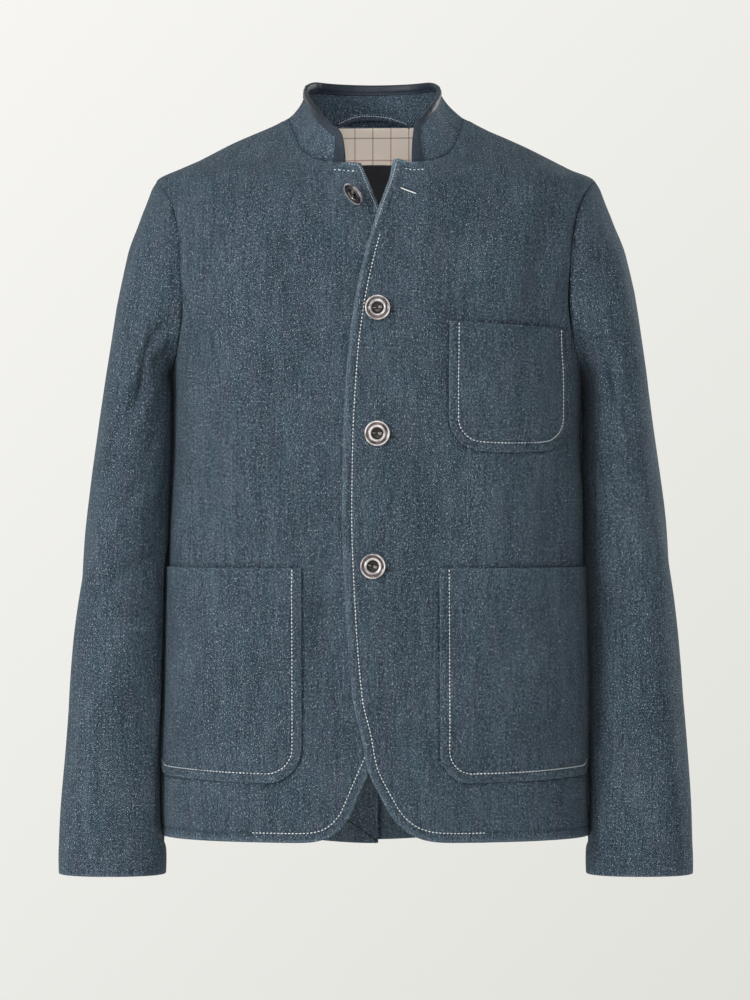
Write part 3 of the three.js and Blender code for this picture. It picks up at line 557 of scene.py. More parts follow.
def cloth_mesh(
    name, points, pattern, thick, material, centre, closed=False, inside=0.0, wear_and_shade=None, hidden=None
):
    """Makes a closed wall with rounded rims about a grid of middle points, all in millimetres.

    pattern holds the place of each point on the flat cloth, thick the cloth's thickness, inside how
    much thicker it is inwards, and the tone argument how pale (above 0) or dark (below 0) the cloth's
    colour is painted there: paler along rubbed edges and round the rims, darker as painted shade in
    seams, stitch grooves and round pockets, and paler as painted light on the backs' inner faces.
    hidden is that tone for its inner face, which is half as strong as the outer one where it isn't given.
    """
    rows, columns = points.shape[:2]
    normals = grid_normals(points, closed)
    outward = np.sign(np.sum(normals * (points - centre), axis=-1).mean())
    normals = normals * outward
    inside = np.broadcast_to(np.asarray(inside, float), (rows, columns))
    wear_and_shade = np.zeros((rows, columns)) if wear_and_shade is None else wear_and_shade
    outer = points + normals * thick / 2
    inner = points - normals * (thick / 2 + inside)[..., None]
    places = [outer.reshape(-1, 3), inner.reshape(-1, 3)]
    # The outer and inner faces' painted tones: rubbed edges paler, painted shade darker, painted light on
    # some inner faces.
    worn = [wear_and_shade.ravel(), (wear_and_shade * 0.5 if hidden is None else hidden).ravel()]
    layer = rows * columns
    spans = columns if closed else columns - 1
    i, j = np.meshgrid(np.arange(rows - 1), np.arange(spans), indexing="ij")
    corners_i = np.stack([i, i, i + 1, i + 1], -1).reshape(-1, 4)
    corners_j = np.stack([j, j + 1, j + 1, j], -1).reshape(-1, 4)
    quads = corners_i * columns + corners_j % columns
    if closed:
        way = np.sign(pattern[:, -1, 0] - pattern[:, 0, 0])
        step = np.linalg.norm(points[:, 0] - points[:, -1], axis=-1) * way
        last = pattern[:, -1] + np.stack([step, np.zeros(rows)], -1)
        pattern = np.concatenate([pattern, last[:, None]], 1)
    spots = pattern[corners_i, corners_j]
    if outward < 0:
        quads, spots = quads[:, ::-1], spots[:, ::-1]
    faces = [quads, quads[:, ::-1] + layer]
    coords = [spots, spots[:, ::-1]]
    begin = 2 * layer
    for loop in boundary_loops(rows, columns, closed):
        i, j = loop[:, 0], loop[:, 1]
        ring = points[i, j]
        along = unit(np.roll(ring, -1, 0) - np.roll(ring, 1, 0))
        side = unit(np.cross(along, normals[i, j]))
        back_i = np.clip(i, 1, rows - 2)
        back_j = j if closed else np.clip(j, 1, columns - 2)
        inward = points[back_i, back_j] - ring
        side = side * -np.sign(np.sum(side * inward, axis=-1).mean())
        half = (thick + inside[i, j]) / 2
        middle = ring - normals[i, j] * (inside[i, j] / 2)[:, None]
        ids = [i * columns + j]
        for k in range(1, RIM_SPANS):
            angle = math.pi * k / RIM_SPANS
            offset = normals[i, j] * math.cos(angle) + side * math.sin(angle)
            places.append(middle + offset * half[:, None])
            worn.append(wear_and_shade[i, j] + 0.35 * math.sin(angle))
            ids.append(begin + np.arange(len(loop)))
            begin += len(loop)
        ids.append(i * columns + j + layer)
        spot = pattern[i, j]
        out = unit(spot - pattern[back_i, back_j])
        nexts = np.roll(np.arange(len(loop)), -1)
        spot_next = spot[nexts].copy()
        if closed:
            spot_next[-1] = pattern[i[-1], columns]
        turned = np.sum(np.cross(along, normals[i, j]) * side, axis=-1).mean() > 0
        for k in range(RIM_SPANS):
            low, high = ids[k], ids[k + 1]
            quad = np.stack([low, high, high[nexts], low[nexts]], -1)
            near, far = (out * (half.mean() * math.pi * s / RIM_SPANS) for s in (k, k + 1))
            spots = np.stack([spot + near, spot + far, spot_next + far, spot_next + near], 1)
            if not turned:
                quad, spots = quad[:, ::-1], spots[:, ::-1]
            faces.append(quad)
            coords.append(spots)
    places, faces = np.concatenate(places), np.concatenate(faces)
    return mesh_object(name, places, faces, material, np.concatenate(coords), np.concatenate(worn))


def mesh_object(name, places, faces, material, coords, wear_and_shade):
    """Makes a mesh object of four-cornered faces from places in millimetres."""
    mesh = bpy.data.meshes.new(name)
    mesh.vertices.add(len(places))
    mesh.vertices.foreach_set("co", (places * MM).astype(np.float32).ravel())
    mesh.loops.add(faces.size)
    mesh.loops.foreach_set("vertex_index", faces.astype(np.int32).ravel())
    mesh.polygons.add(len(faces))
    mesh.polygons.foreach_set("loop_start", np.arange(0, faces.size, 4, dtype=np.int32))
    layer = mesh.uv_layers.new(name="cloth")
    layer.data.foreach_set("uv", (coords * MM).astype(np.float32).ravel())
    # The per-point painted tone that the denim reads: rubbed edges paler, painted shade in seams and grooves
    # darker.
    field = mesh.attributes.new("wear_and_shade", "FLOAT", "POINT")
    field.data.foreach_set("value", wear_and_shade.astype(np.float32))
    mesh.update(calc_edges=True)
    mesh.validate()
    mesh.shade_smooth()
    mesh.materials.append(material)
    return add_object(name, mesh)


def add_object(name, data):
    """Puts a mesh, a lamp or a camera in the scene under that name."""
    made = bpy.data.objects.new(name, data)
    bpy.context.scene.collection.objects.link(made)
    return made


def mesh_from(bm, name, materials):
    """Turns a finished bmesh into a mesh with those materials."""
    mesh = bpy.data.meshes.new(name)
    bm.to_mesh(mesh)
    bm.free()
    for material in materials:
        mesh.materials.append(material)
    return mesh


def finish_piece(piece, nodes):
    """Fastens a finished piece to the frame and hides the imported parts that it takes the place of."""
    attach(piece, "root")
    if nodes:
        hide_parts(*nodes)
    return piece


# The mitred corner of the inner vent flap, from its hem turning to its point
MITRE = np.array([(-31.5, -678.3), (0.5, -701.0)])


def build_panel(name, node, panel, face, material):
    """Makes the cloth of a front or a back, paler along its rubbed edges, with painted shade in its seams,
    stitch grooves and round its pockets, and painted light and a painted shadow line inside the vent.
    """
    surface = front_surface if face == "front" else back_surface
    hidden = None
    turns, heights, across = panel_grid(panel, face)
    points = surface(panel, turns, heights)
    rise = lengths_along(points[:, points.shape[1] // 2])
    pattern = np.stack([across, np.repeat(rise[:, None], across.shape[1], 1) + heights - heights[:, :1]], -1)
    x = body(turns, heights)[..., 0]
    if face == "front":
        inside = distance_to(panel["outline"], x, heights)
        opening = 0.7 + 0.8 * ramp(heights, -300, -160) * (panel["side"] > 0)
        # Pale rubbed edge, and painted shade in the topstitching's groove.
        wear_and_shade = 0.9 * opening * bump(inside, 0.8, 1.9) - 0.5 * bump(inside, STITCH_INSET, 1.4)
        fold = FACING * ramp(inside, 10.5, 8.5)
        for pocket in (CHEST, HIP_LEFT, HIP_RIGHT):
            if pocket["panel"] is panel:
                # A painted shadow line round the pocket's edge.
                wear_and_shade = wear_and_shade - 1.5 * bump(distance_to(pocket_outline(pocket), x, heights), 0.4, 1.5)
    else:
        edge_x = back_inner(panel, heights)
        closed = 99 * (heights > VENT_TOP + VENT_SLOPE)
        inside = np.minimum(np.abs(x - edge_x) + closed, heights - heights[0])
        wear_and_shade = 0.6 * bump(inside, 0, 1.2)
        # The backs' inner faces are painted paler: painted light where the vent shows the inside.
        if panel["layer"] < 0:
            wear_and_shade = wear_and_shade * 0.2
            hidden = 0.7 + 0 * wear_and_shade
        else:
            # The outer flap's inner face: painted light, with a painted shadow line beside the inner flap's
            # edge.
            beside = np.abs(x - BACK_RIGHT["vent"] - 1.3) + 99 * (heights > VENT_TOP)
            hidden = 0.7 - 4.4 * bump(beside, 0, 1.2)
        # Painted shade in the centre back seam above the vent.
        wear_and_shade = wear_and_shade - 0.9 * bump(np.abs(x - edge_x), 0, 1.7) * (heights > VENT_TOP + VENT_SLOPE)
        fold = 0.4 * FACING * ramp(inside, 26, 24)
    from_seam = off_seam(panel, turns, heights)
    # Painted shade in the side and armhole seams.
    wear_and_shade = wear_and_shade - 0.6 * bump(from_seam, 0, 1.7)
    piece = cloth_mesh(
        name, points, pattern, DENIM, material, upright(heights), inside=fold, wear_and_shade=wear_and_shade, hidden=hidden
    )
    return finish_piece(piece, [node])


# Sleeves: outer and inner point of each ring seen from the front, half depth, how far it is
# carried back and how much of the armhole's own curve it keeps
SLEEVE = Sizes(
    "ring out_x out_z in_x in_z deep back keep",
    (0, 211.5, -53.6, 197, -235.0, 63.6, 2, 1),
    (1, 217.5, -59.0, 201, -237.0, 64.4, 3, 0.75),
    (2, 223.5, -70, 203, -239, 65, 4, 0.45),
    (3, 232.5, -94, 204, -246, 66, 6, 0.2),
    (4, 241, -124, 204.5, -256, 66.5, 8, 0),
    (5, 251, -168, 205, -276, 66.5, 10, 0),
    (6, 259, -212, 205, -302, 66, 12, 0),
    (7, 266.5, -260, 205, -334, 65, 14, 0),
    (8, 274, -320, 206, -374, 63.5, 15, 0),
    (9, 281.5, -385, 206, -422, 62, 15, 0),
    (10, 289.5, -459, 207, -480, 60, 13, 0),
    (11, 295.5, -530, 207, -540, 56, 9, 0),
    (12, 300.5, -600, 206, -604, 51, 3, 0),
    (13, 304.5, -665, 204, -666, 46, -2, 0),
    (14, 306, -722, 204, -722, 42, -6, 0),
)
SLEEVE_ROWS = 190
SLEEVE_COLUMNS = 92
SLEEVE_SQUARE = 2.2
SLEEVE_SEAM = -150
SLEEVE_START = 0.7
ARM_RADIUS = 60
DEGREE_RUN = 1.05  # millimetres round the arm for each degree
OVAL_INNER = 201  # the inner side of the ovals on which the cloth's pattern is laid out
OVAL_PARTS = 40
POCKET_CLEAR_FROM = -400

# Folds of a sleeve: angle round the arm in degrees (0 is outside, 90 the front) and height
SLEEVE_FOLDS = Sizes(
    "a0 z0 a1 z1 bow width depth",
    (128, -150, 96, -262, 6, 8, 3.0), (150, -190, 70, -300, 8, 9, 2.4),
    (60, -120, 84, -220, -5, 12, 1.8), (118, -330, 58, -388, 5, 9, 1.8),
    (140, -400, 62, -440, 4, 9, 2.2), (136, -452, 70, -470, -4, 8, 1.9),
    (30, -380, -20, -520, 8, 20, 2.0), (80, -520, 60, -650, 5, 18, -2.0),
    (-60, -130, -90, -250, 6, 13, 2.4), (-150, -200, -84, -300, 7, 10, 2.2),
    (-140, -410, -70, -452, 5, 9, 2.2), (-120, -470, -60, -540, -5, 11, 1.8),
    (-40, -540, -60, -680, 5, 18, -1.8), (10, -180, 24, -330, 8, 20, 1.6),
)


def body_x(y, z):
    """Half width of the body form at a depth and a height, where a sleeve lies against it."""
    square, depth = section(y < 0, z)
    return BODY.read("half", z) * clamp(1 - (y / depth) ** 2) ** (1 / square)


def sleeve_form(ring, angle, contact=0.0):
    """Points of the wearer's left sleeve; angle 0 is the outside of the arm, a quarter turn the front.

    Its inner side lies a little way round behind the body, and against the side as far as contact says.
    """
    out = signed_power(np.cos(angle), 2 / SLEEVE_SQUARE)
    ahead = signed_power(np.sin(angle), 2 / SLEEVE_SQUARE)
    read = {name: SLEEVE.read(name, ring) for name in SLEEVE.names[1:]}

    def across(outer, inner):
        return (outer + inner) / 2 + out * (outer - inner) / 2

    z = across(read["out_z"], read["in_z"])
    y = read["back"] - ahead * read["deep"]
    straight = across(read["out_x"], read["in_x"])
    x = mix(straight, body_x(y, z) + SLEEVE_START, read["keep"])
    clear = mix(0.5, 3.4, ramp(z, POCKET_CLEAR_FROM, POCKET_CLEAR_FROM - 30))
    wall = body_x(y, z) + DENIM + clear - 10 * ramp(z, -684, -702)
    pressed = np.where(z < ARM_BOTTOM, np.logaddexp(x / 1.2, wall / 1.2) * 1.2, x)
    x = np.where(z < ARM_BOTTOM, mix(x, np.maximum(pressed, wall), ramp(z, ARM_BOTTOM, ARM_BOTTOM - 8)), x)
    inner = ramp(-np.cos(angle), 0.1, 0.8)
    side = body_x(0 * y, z) + DENIM + clear - 0.2
    low = ramp(z, ARM_BOTTOM + 6, ARM_BOTTOM - 30) * ramp(z, -705, -650)
    x = x - clamp(x - side, 0, 8) * inner * low * contact * ramp(np.abs(y), 60, 30)
    snug = body_x(clamp(y, -50, 50), z) + DENIM + clear
    x = x - clamp(x - snug, 0, 9) * inner * ramp(z, ARM_BOTTOM + 6, ARM_BOTTOM - 30) * ramp(y, -4, 30)
    return np.stack([x, y, z], -1)


def round_sleeve(points, outer):
    """How far round the cloth each point is from the outer line, on a level oval at its own height."""
    z = points[..., 2]
    order = np.argsort(SLEEVE.rows[:, 2])
    table = SLEEVE.rows[order]
    half = (np.interp(z, table[:, 2], table[:, 1]) - OVAL_INNER) / 2
    deep = np.interp(z, table[:, 2], table[:, 5])
    ahead = np.interp(z, table[:, 2], table[:, 6]) - points[..., 1]
    turn = np.unwrap(np.arctan2(ahead / deep, (points[..., 0] - OVAL_INNER - half) / half), axis=1)
    turn = turn - 2 * math.pi * np.round(turn[:, [outer]] / (2 * math.pi))
    total = np.zeros_like(turn)
    for share in (np.arange(OVAL_PARTS) + 0.5) / OVAL_PARTS:
        total += np.hypot(half * np.sin(turn * share), deep * np.cos(turn * share)) / OVAL_PARTS
    return total * turn


def sleeve_points(side, seed):
    """The grid of middle points of one sleeve with its folds, and its pattern coordinates."""
    fine = np.linspace(0, 14, 400)
    length = lengths_along(sleeve_form(fine, np.full(400, QUARTER)))
    steps = spread(length[-1], (0, 0.6, 1.3, 2.2, 3.4, 5), (0, 0.6, 1.3, 2.4, 4), length[-1] / SLEEVE_ROWS)
    rings = np.interp(steps, length, fine)
    angles = math.radians(SLEEVE_SEAM) + 2 * math.pi * np.arange(SLEEVE_COLUMNS) / SLEEVE_COLUMNS
    ring, angle = np.meshgrid(rings, angles, indexing="ij")
    points = sleeve_form(ring, angle, 1.0 if side < 0 else 0.0)
    outward = grid_normals(points, True)
    centre = points.mean(1, keepdims=True)
    outward = outward * np.sign(np.sum(outward * (points - centre), axis=-1).mean())
    degrees = np.degrees(np.arctan2(np.sin(angle), np.cos(angle)))
    around = degrees * DEGREE_RUN
    folds = np.zeros(points.shape[:2])
    for shift in (-360, 0, 360):
        rows = SLEEVE_FOLDS.rows.copy()
        rows[:, [0, 2]] = (rows[:, [0, 2]] + shift) * DEGREE_RUN
        if side < 0:
            rows[:, [1, 3]] -= 14
            rows[:, 6] *= 1.1
        table = Sizes(FOLDS, *rows.tolist())
        folds += folds_at(table, around, points[..., 2])
    down = (steps / steps[-1])[:, None]
    free = ramp(down, 0, 0.06) * (1 - 0.6 * ramp(down, 0.94, 1))
    resting = np.abs(points[..., 0] - body_x(points[..., 1], points[..., 2]) - DENIM) < 8
    free = free * np.where(resting, 0.25, 1)
    turn = (angle - angles[0]) * ARM_RADIUS
    drift = 1.3 * ripple(np.cos(angle) * ARM_RADIUS, points[..., 2], 70, 150, seed)
    drift += 0.4 * ripple(turn, points[..., 2], 377 / 9, 46, seed + 1) * np.abs(np.sin(angle / 2))
    seam_at = SLEEVE_SEAM * DEGREE_RUN
    seam = -0.6 * bump(around, seam_at, 1.5) + 0.25 * bump(around, seam_at + 7, 4)
    from_head = steps[:, None]
    roll = 0.9 * bump(from_head, 9, 7) * np.maximum(0, np.cos(angle)) ** 0.5
    head = -0.3 * bump(from_head, 0, 1.6) + roll
    cuff = 0.4 * np.sin(math.pi * clamp((steps[-1] - from_head) / 28))
    lift = (drift - folds) * free + seam + head + cuff
    outer = int(np.argmin(np.abs(angles)))
    pattern = np.stack([round_sleeve(points, outer) * side, points[..., 2]], -1)
    points = points + outward * lift[..., None]
    points[..., 0] *= side
    return points, pattern, steps


def build_sleeve(name, node, side, seed, material):
    points, pattern, steps = sleeve_points(side, seed)
    centre = points.mean(1, keepdims=True)
    from_cuff = np.repeat((steps[-1] - steps)[:, None], SLEEVE_COLUMNS, 1)
    fold = FACING * ramp(from_cuff, 33, 30)
    # Pale rubbed cuff edge, and painted shade in the armhole seam at the sleeve's head.
    wear_and_shade = 0.5 * bump(from_cuff, 0, 1.5) - 0.7 * bump(from_cuff, steps[-1], 1.9)
    piece = cloth_mesh(name, points, pattern, DENIM, material, centre, closed=True, inside=fold, wear_and_shade=wear_and_shade)
    return finish_piece(piece, [node])


# Stand collar with its leather binding
COLLAR_HALF, COLLAR_BACK, COLLAR_FRONT, COLLAR_SHIFT = 64.8, 50, 74, -3.5
COLLAR_ENDS = (-152, 140)
COLLAR_RISE = Sizes(
    "angle z",
    (0, 43.5), (30, 43.8), (56, 44.3), (75, 40.8), (90, 34.5), (105, 26), (120, 16), (138, 0), (153, -12),
)
COLLAR_CORNER = 9
COLLAR_SWELL = 2.5
COLLAR_WAIST = 5  # how much more it is waisted at the sides of the neck
COLLAR_FOOT = 0.5
BINDING_GAP = 0.25  # between the leather and the cloth under it
BINDING_DEPTH = 8.5
BINDING_STITCH_AT = 6.9  # the stitches run this far inside the collar's edge


class Path:
    """A line through points, read by its share of the length, and straight on past its ends."""

    def __init__(self, points):
        self.points = points
        self.lengths = lengths_along(points)
        self.total = self.lengths[-1]

    def at(self, share):
        target = np.asarray(share, float) * self.total
        i = np.clip(np.searchsorted(self.lengths, target) - 1, 0, len(self.lengths) - 2)
        t = (target - self.lengths[i]) / (self.lengths[i + 1] - self.lengths[i])
        return self.points[i] + (self.points[i + 1] - self.points[i]) * t[..., None]


def neck_seam():
    def front(xs, side):
        z = NECK_RISE.read("z", xs)
        return body(turn_at(side * xs, z), z)

    right = front(np.linspace(31, 85.5, 60), -1)
    back = body(np.linspace(4, 2, 122)[1:-1], np.full(120, float(NECK_BACK)))
    left = front(np.linspace(85.5, 36, 60), 1)
    return Path(np.concatenate([right, back, left]))


def collar_edge():
    angle = np.arange(COLLAR_ENDS[0], COLLAR_ENDS[1] + 0.1, 2.0)
    turned = np.radians(angle)
    deep = np.where(np.cos(turned) > 0, COLLAR_BACK, COLLAR_FRONT)
    rise = COLLAR_RISE.read("z", np.abs(angle))
    return Path(np.stack([COLLAR_SHIFT + COLLAR_HALF * np.sin(turned), deep * np.cos(turned), rise], -1))


NECK = neck_seam()
TOP = collar_edge()
COLLAR_LENGTH = (NECK.total + TOP.total) / 2


def collar_height(along):
    return np.linalg.norm(TOP.at(along / COLLAR_LENGTH) - NECK.at(along / COLLAR_LENGTH), axis=-1)


def collar_point(along, up):
    """A point of the collar form: along from the wearer's right end, up from the seam."""
    share = along / COLLAR_LENGTH
    rise = (up / collar_height(along))[..., None]
    point = mix(NECK.at(share), TOP.at(share), rise)
    inward = -point * (1, 1, 0)
    bend = ripple(along, up, 60, 90, 71)[..., None] * 0.7
    sides = bump(share, 0.19, 0.1) + bump(share, 0.81, 0.1)
    swell = COLLAR_SWELL + COLLAR_WAIST * sides[..., None]
    return point + unit(inward) * (swell * 4 * rise * (1 - rise) + bend * np.sin(math.pi * clamp(rise)))


def collar_normal(along, up):
    """The direction across the collar, towards the neck."""
    across = collar_point(along + 1.5, up) - collar_point(along - 1.5, up)
    return unit(np.cross(across, collar_point(along, up + 1) - collar_point(along, up - 1)))


def build_collar(material):
    along = spread(COLLAR_LENGTH, (0, 0.7, 1.6, 3, 5, 7, 9), (0, 0.7, 1.6, 3, 5, 7, 9), 2.6)
    rises = np.concatenate([[0, 0.02, 0.05, 0.09, 0.14], np.linspace(0.2, 1, 14)])
    lift, run = np.meshgrid(rises, along, indexing="ij")
    from_end = np.minimum(np.minimum(run, COLLAR_LENGTH - run), COLLAR_CORNER)
    drop = COLLAR_CORNER - np.sqrt(np.maximum(COLLAR_CORNER**2 - (COLLAR_CORNER - from_end) ** 2, 0))
    up = mix(COLLAR_FOOT, collar_height(run) - drop, lift)
    relief = plain_seam(up - COLLAR_FOOT, run, up, 73)
    points = collar_point(run, up) + collar_normal(run, up) * relief[..., None]
    # Painted shade where the collar's foot meets the neck seam.
    wear_and_shade = -1.0 * bump(up, COLLAR_FOOT, 1.7)
    pattern = np.stack([run, up], -1)
    piece = cloth_mesh("stand_collar", points, pattern, DENIM, material, upright(points[..., 2]), wear_and_shade=wear_and_shade)
    return finish_piece(piece, ["collar"])


def collar_edge_stops():
    """Stops up one end of the collar, along its top and down the other, with the way out of the edge."""
    r, length = COLLAR_CORNER, COLLAR_LENGTH
    corner = np.radians(np.linspace(180, 90, 12))
    high = float(collar_height(np.array(float(r)))) - r
    rise = np.linspace(COLLAR_FOOT - 0.4, high, 14)[:-1]
    top = np.linspace(r, length - r, 170)[1:-1]
    bend_in = r + r * np.cos(corner)
    bend_out = length - r - r * np.cos(corner[::-1])
    along = np.concatenate([0 * rise, bend_in, top, bend_out, length + 0 * rise])
    near_end = np.full(len(rise) + len(corner), float(r))
    height = collar_height(np.concatenate([near_end, top, length - near_end]))
    first, last = len(rise), len(near_end)
    bend_up = height[first:last] - r + r * np.sin(corner)
    bend_down = height[-last:-first] - r + r * np.sin(corner[::-1])
    up = np.concatenate([rise, bend_up, height[last:-last], bend_down, rise[::-1]])
    left, above = np.full(first, math.pi), np.full(len(top), QUARTER)
    return along, up, np.concatenate([left, corner, above, math.pi - corner[::-1], 0 * left])


def build_binding(material):
    """Leather folded over the collar's edge as a channel, puckered a little along its stitching."""
    stand = DENIM / 2 + BINDING_GAP + LEATHER / 2
    depth = BINDING_DEPTH
    along, up, out = collar_edge_stops()
    run = lengths_along(np.stack([along, up], -1))
    legs = np.array([depth, depth - 0.7, depth - 1.4, depth - 2.2, depth - 3.4, 5.2 - 1.6, 2.2, 1.0])
    arc = np.radians(np.linspace(90, -90, 9))
    deeps = np.concatenate([legs, -stand * 0.95 * np.cos(arc), legs[::-1]])
    lifts = np.concatenate([np.full(8, 1.0), np.sin(arc), np.full(8, -1.0)]) * stand
    pucker = 0.16 * ripple(run, 0 * run, 5.5, 9, 81, 8) + 0.1 * ripple(run, 0 * run, 13, 9, 82)
    grid = []
    for deep, lift in zip(deeps, lifts):
        near_stitch = float(bump(deep, BINDING_STITCH_AT, 0.8))
        swell = 0.35 * float(bump(deep, 4, 2.5)) + pucker * ramp(deep, 8.5, 2) - 0.25 * near_stitch
        swell = swell * np.sign(lift) if abs(lift) > 0.1 else 0 * run
        u = along - np.cos(out) * deep
        v = up - np.sin(out) * deep
        grid.append(collar_point(u, v) + collar_normal(u, v) * (lift + swell)[:, None])
    points = np.array(grid)
    pattern = np.stack(np.broadcast_arrays(run[None, :], np.cumsum(np.full(len(deeps), 1.3))[:, None]), -1)
    edge = collar_point(along - np.cos(out) * 3, up - np.sin(out) * 3)
    piece = cloth_mesh("leather_binding", points, pattern, LEATHER, material, edge[None])
    return finish_piece(piece, ["collar_binding"])


def binding_stitch_lines():
    """Where the leather is sewn through the collar, on its inner and its outer face."""
    along, up, out = collar_edge_stops()
    u = along - np.cos(out) * BINDING_STITCH_AT
    v = up - np.sin(out) * BINDING_STITCH_AT
    off = DENIM / 2 + BINDING_GAP + LEATHER + 0.02
    lines = []
    for side in (1, -1):
        normal = collar_normal(u, v) * side
        lines.append((collar_point(u, v) + normal * off, normal))
    return lines


LOOP_HALF, LOOP_RISE, LOOP_FOOT, LOOP_WIDTH, LOOP_THICK = 31.5, 8.5, -0.5, 5.2, 1.6


def loop_surface(share, rise):
    """A point of the hanger loop's middle: share from -1 to 1 along it, rise across its width."""
    along = COLLAR_LENGTH / 2 + share * LOOP_HALF
    up = LOOP_FOOT + LOOP_RISE * (1 - np.abs(share) ** 2.6) + rise * LOOP_WIDTH
    off = DENIM / 2 + LOOP_THICK / 2 + 0.3 + 1.3 * (1 - share**2)
    inward = collar_normal(along, up)
    return collar_point(along, up) + inward * off[..., None], inward


def build_loop(material):
    share, rise = np.meshgrid(np.linspace(-1, 1, 70), np.linspace(0, 1, 9), indexing="xy")
    points, inward = loop_surface(share, rise)
    swell = 0.35 * np.sin(math.pi * rise) - 0.25 * bump(rise, 0.78, 0.1)
    points = points + inward * swell[..., None]
    pattern = np.stack([rise * LOOP_WIDTH, share * LOOP_HALF * 1.1], -1)
    outside = points + np.array([0, 30, 0])
    piece = cloth_mesh("hanging_loop", points, pattern, LOOP_THICK, material, outside)
    return finish_piece(piece, ["hanger_loop"])


# Lining and label inside the upper back


def inner_back(turn, z, inward, seed):
    """Points that lie this far inside the backs' cloth, with small ripples of their own."""
    x = body(turn, z)[..., 0]
    panel_left = back_surface(BACK_LEFT, turn, z)
    slack = 0.25 * ripple(x, z, 34, 30, seed)
    return panel_left - body_normal(turn, z) * (inward + slack)[..., None]


def build_lining(material):
    turn, z = np.meshgrid(np.linspace(2.38, 3.62, 90), np.linspace(-190, 4.3, 60), indexing="xy")
    keep = -0.75 * bump(np.abs(body(turn, z)[..., 0]), 0, 1.5)
    points = inner_back(turn, z, DENIM / 2 + LINING / 2 + 0.75 + keep, 91)
    spans = lengths_across(points)
    across = spans - spans[:, 44:46].mean(1, keepdims=True)
    piece = cloth_mesh("check_lining", points, np.stack([-across, z], -1), LINING, material, upright(z, -200))
    return finish_piece(piece, ["back_neck_lining"])


def build_label(material):
    across, z = np.meshgrid(np.linspace(40, -40, 40), np.linspace(-82, -30, 30), indexing="xy")
    turn = turn_at(across, z, back=True)
    keep = -0.75 * bump(np.abs(across), 0, 1.5)
    inward = DENIM / 2 + LINING + LABEL / 2 + 1.15 + keep
    points = inner_back(turn, z, inward, 91)
    piece = cloth_mesh("neck_label", points, np.stack([across, z], -1), LABEL, material, upright(z, -200))
    return finish_piece(piece, ["label"])


# Patch pockets: edges seen from the front, or how far the outer edge stands from the side seam
CHEST = dict(
    panel=FRONT_LEFT, near=69.5, far=184.5, seam_gap=0, width=115, top=-194, bottom=-316, corner=28,
    slope=-0.05, bow=5, lowest=0.5, gape=1.4, seed=101,
)
HIP = dict(far=0, seam_gap=5, top=-427, bottom=-629, slope=0, bow=4, lowest=0, gape=1.8)
HIP_LEFT = dict(HIP, panel=FRONT_LEFT, near=61, width=140, corner=30, seed=111)
HIP_RIGHT = dict(HIP, panel=FRONT_RIGHT, near=-71, width=130, corner=33, seed=121)


def pocket_turns(pocket, z, inset):
    """The turns of a pocket's two upright edges at a height, inset all round by a distance."""
    panel = pocket["panel"]
    side, corner = panel["side"], pocket["corner"] - inset
    into = clamp(pocket["bottom"] + inset + corner - z, 0, corner * 0.998)
    rounding = corner - np.sqrt(corner**2 - into**2)
    near = turn_at(pocket["near"] + side * (inset + rounding), z)
    if pocket["far"]:
        return near, turn_at(pocket["far"] - side * (inset + rounding), z)
    off = (pocket["seam_gap"] + inset + rounding) / panel["per_turn"](z)
    return near, panel["seam"] + panel["away"] * off


def pocket_outline(pocket):
    """The edge of a pocket seen from the front, once round."""
    corner = pocket["corner"]
    bow = corner * (1 - np.cos(np.linspace(0.02, QUARTER, 16)))
    z = pocket["bottom"] + np.concatenate([bow, [pocket["top"] - pocket["bottom"]]])
    sides = []
    for turn in pocket_turns(pocket, z, 0):
        sides.append(np.stack([body(turn, z)[..., 0], z + pocket_slope(pocket, turn, z)], -1))
    near, far = sides
    return np.concatenate([near[::-1], far, near[-1:]])


def pocket_slope(pocket, turn, z):
    """How far a pocket's rows are moved to give its top edge a slope and its bottom edge a curve."""
    across = np.abs(body(turn, z)[..., 0] - pocket["near"])
    aside = (across / pocket["width"] - pocket["lowest"]) / (1 - pocket["lowest"])
    curve = pocket["bow"] * clamp(aside**2) * ramp(z, pocket["bottom"] + 90, pocket["bottom"])
    return pocket["slope"] * across * ramp(z, pocket["bottom"] + 40, pocket["top"]) + curve


def before_slope(pocket, turn, z):
    """The height that a point of a sloped pocket has on its square form."""
    square = z
    for _ in range(4):
        square = z - pocket_slope(pocket, turn, square)
    return square


def pocket_surface(pocket, turn, z, inside):
    """The middle of a pocket's cloth over the front's own cloth."""
    panel = pocket["panel"]
    under = front_surface(panel, turn, z)
    x = under[..., 0]
    off = DENIM / 2 + POCKET_CLOTH / 2 + 0.35
    near_turn, far_turn = pocket_turns(pocket, z, 0)
    share = clamp((turn - near_turn) / (far_turn - near_turn))
    gape = pocket["gape"] * np.exp((z - pocket["top"]) / 30) * np.sin(math.pi * share) ** 1.2
    fullness = 0.9 * ramp(inside, 9, 40) * (1 + 0.5 * ripple(x, z, 60, 80, pocket["seed"]))
    relief = sewn_edge(inside, x, z, pocket["seed"] + 1) * np.where(z > pocket["top"] - 3, 0.4, 1)
    lift = off + gape + fullness + relief
    return under + body_normal(turn, z) * lift[..., None]


def pocket_inside(pocket, turn, z):
    """Distance inwards from a pocket's sewn sides and bottom, not from its open top."""
    here = body(turn, z)
    corner = pocket["corner"]
    square = dict(pocket, corner=1e-6)
    sides = [np.linalg.norm(here - body(edge, z), axis=-1) for edge in pocket_turns(square, z, 0)]
    sides = np.minimum(*sides)
    low = z - pocket["bottom"]
    in_corner = (sides < corner) & (low < corner)
    round_part = corner - np.hypot(corner - sides, corner - low)
    return np.where(in_corner, round_part, np.minimum(sides, low))


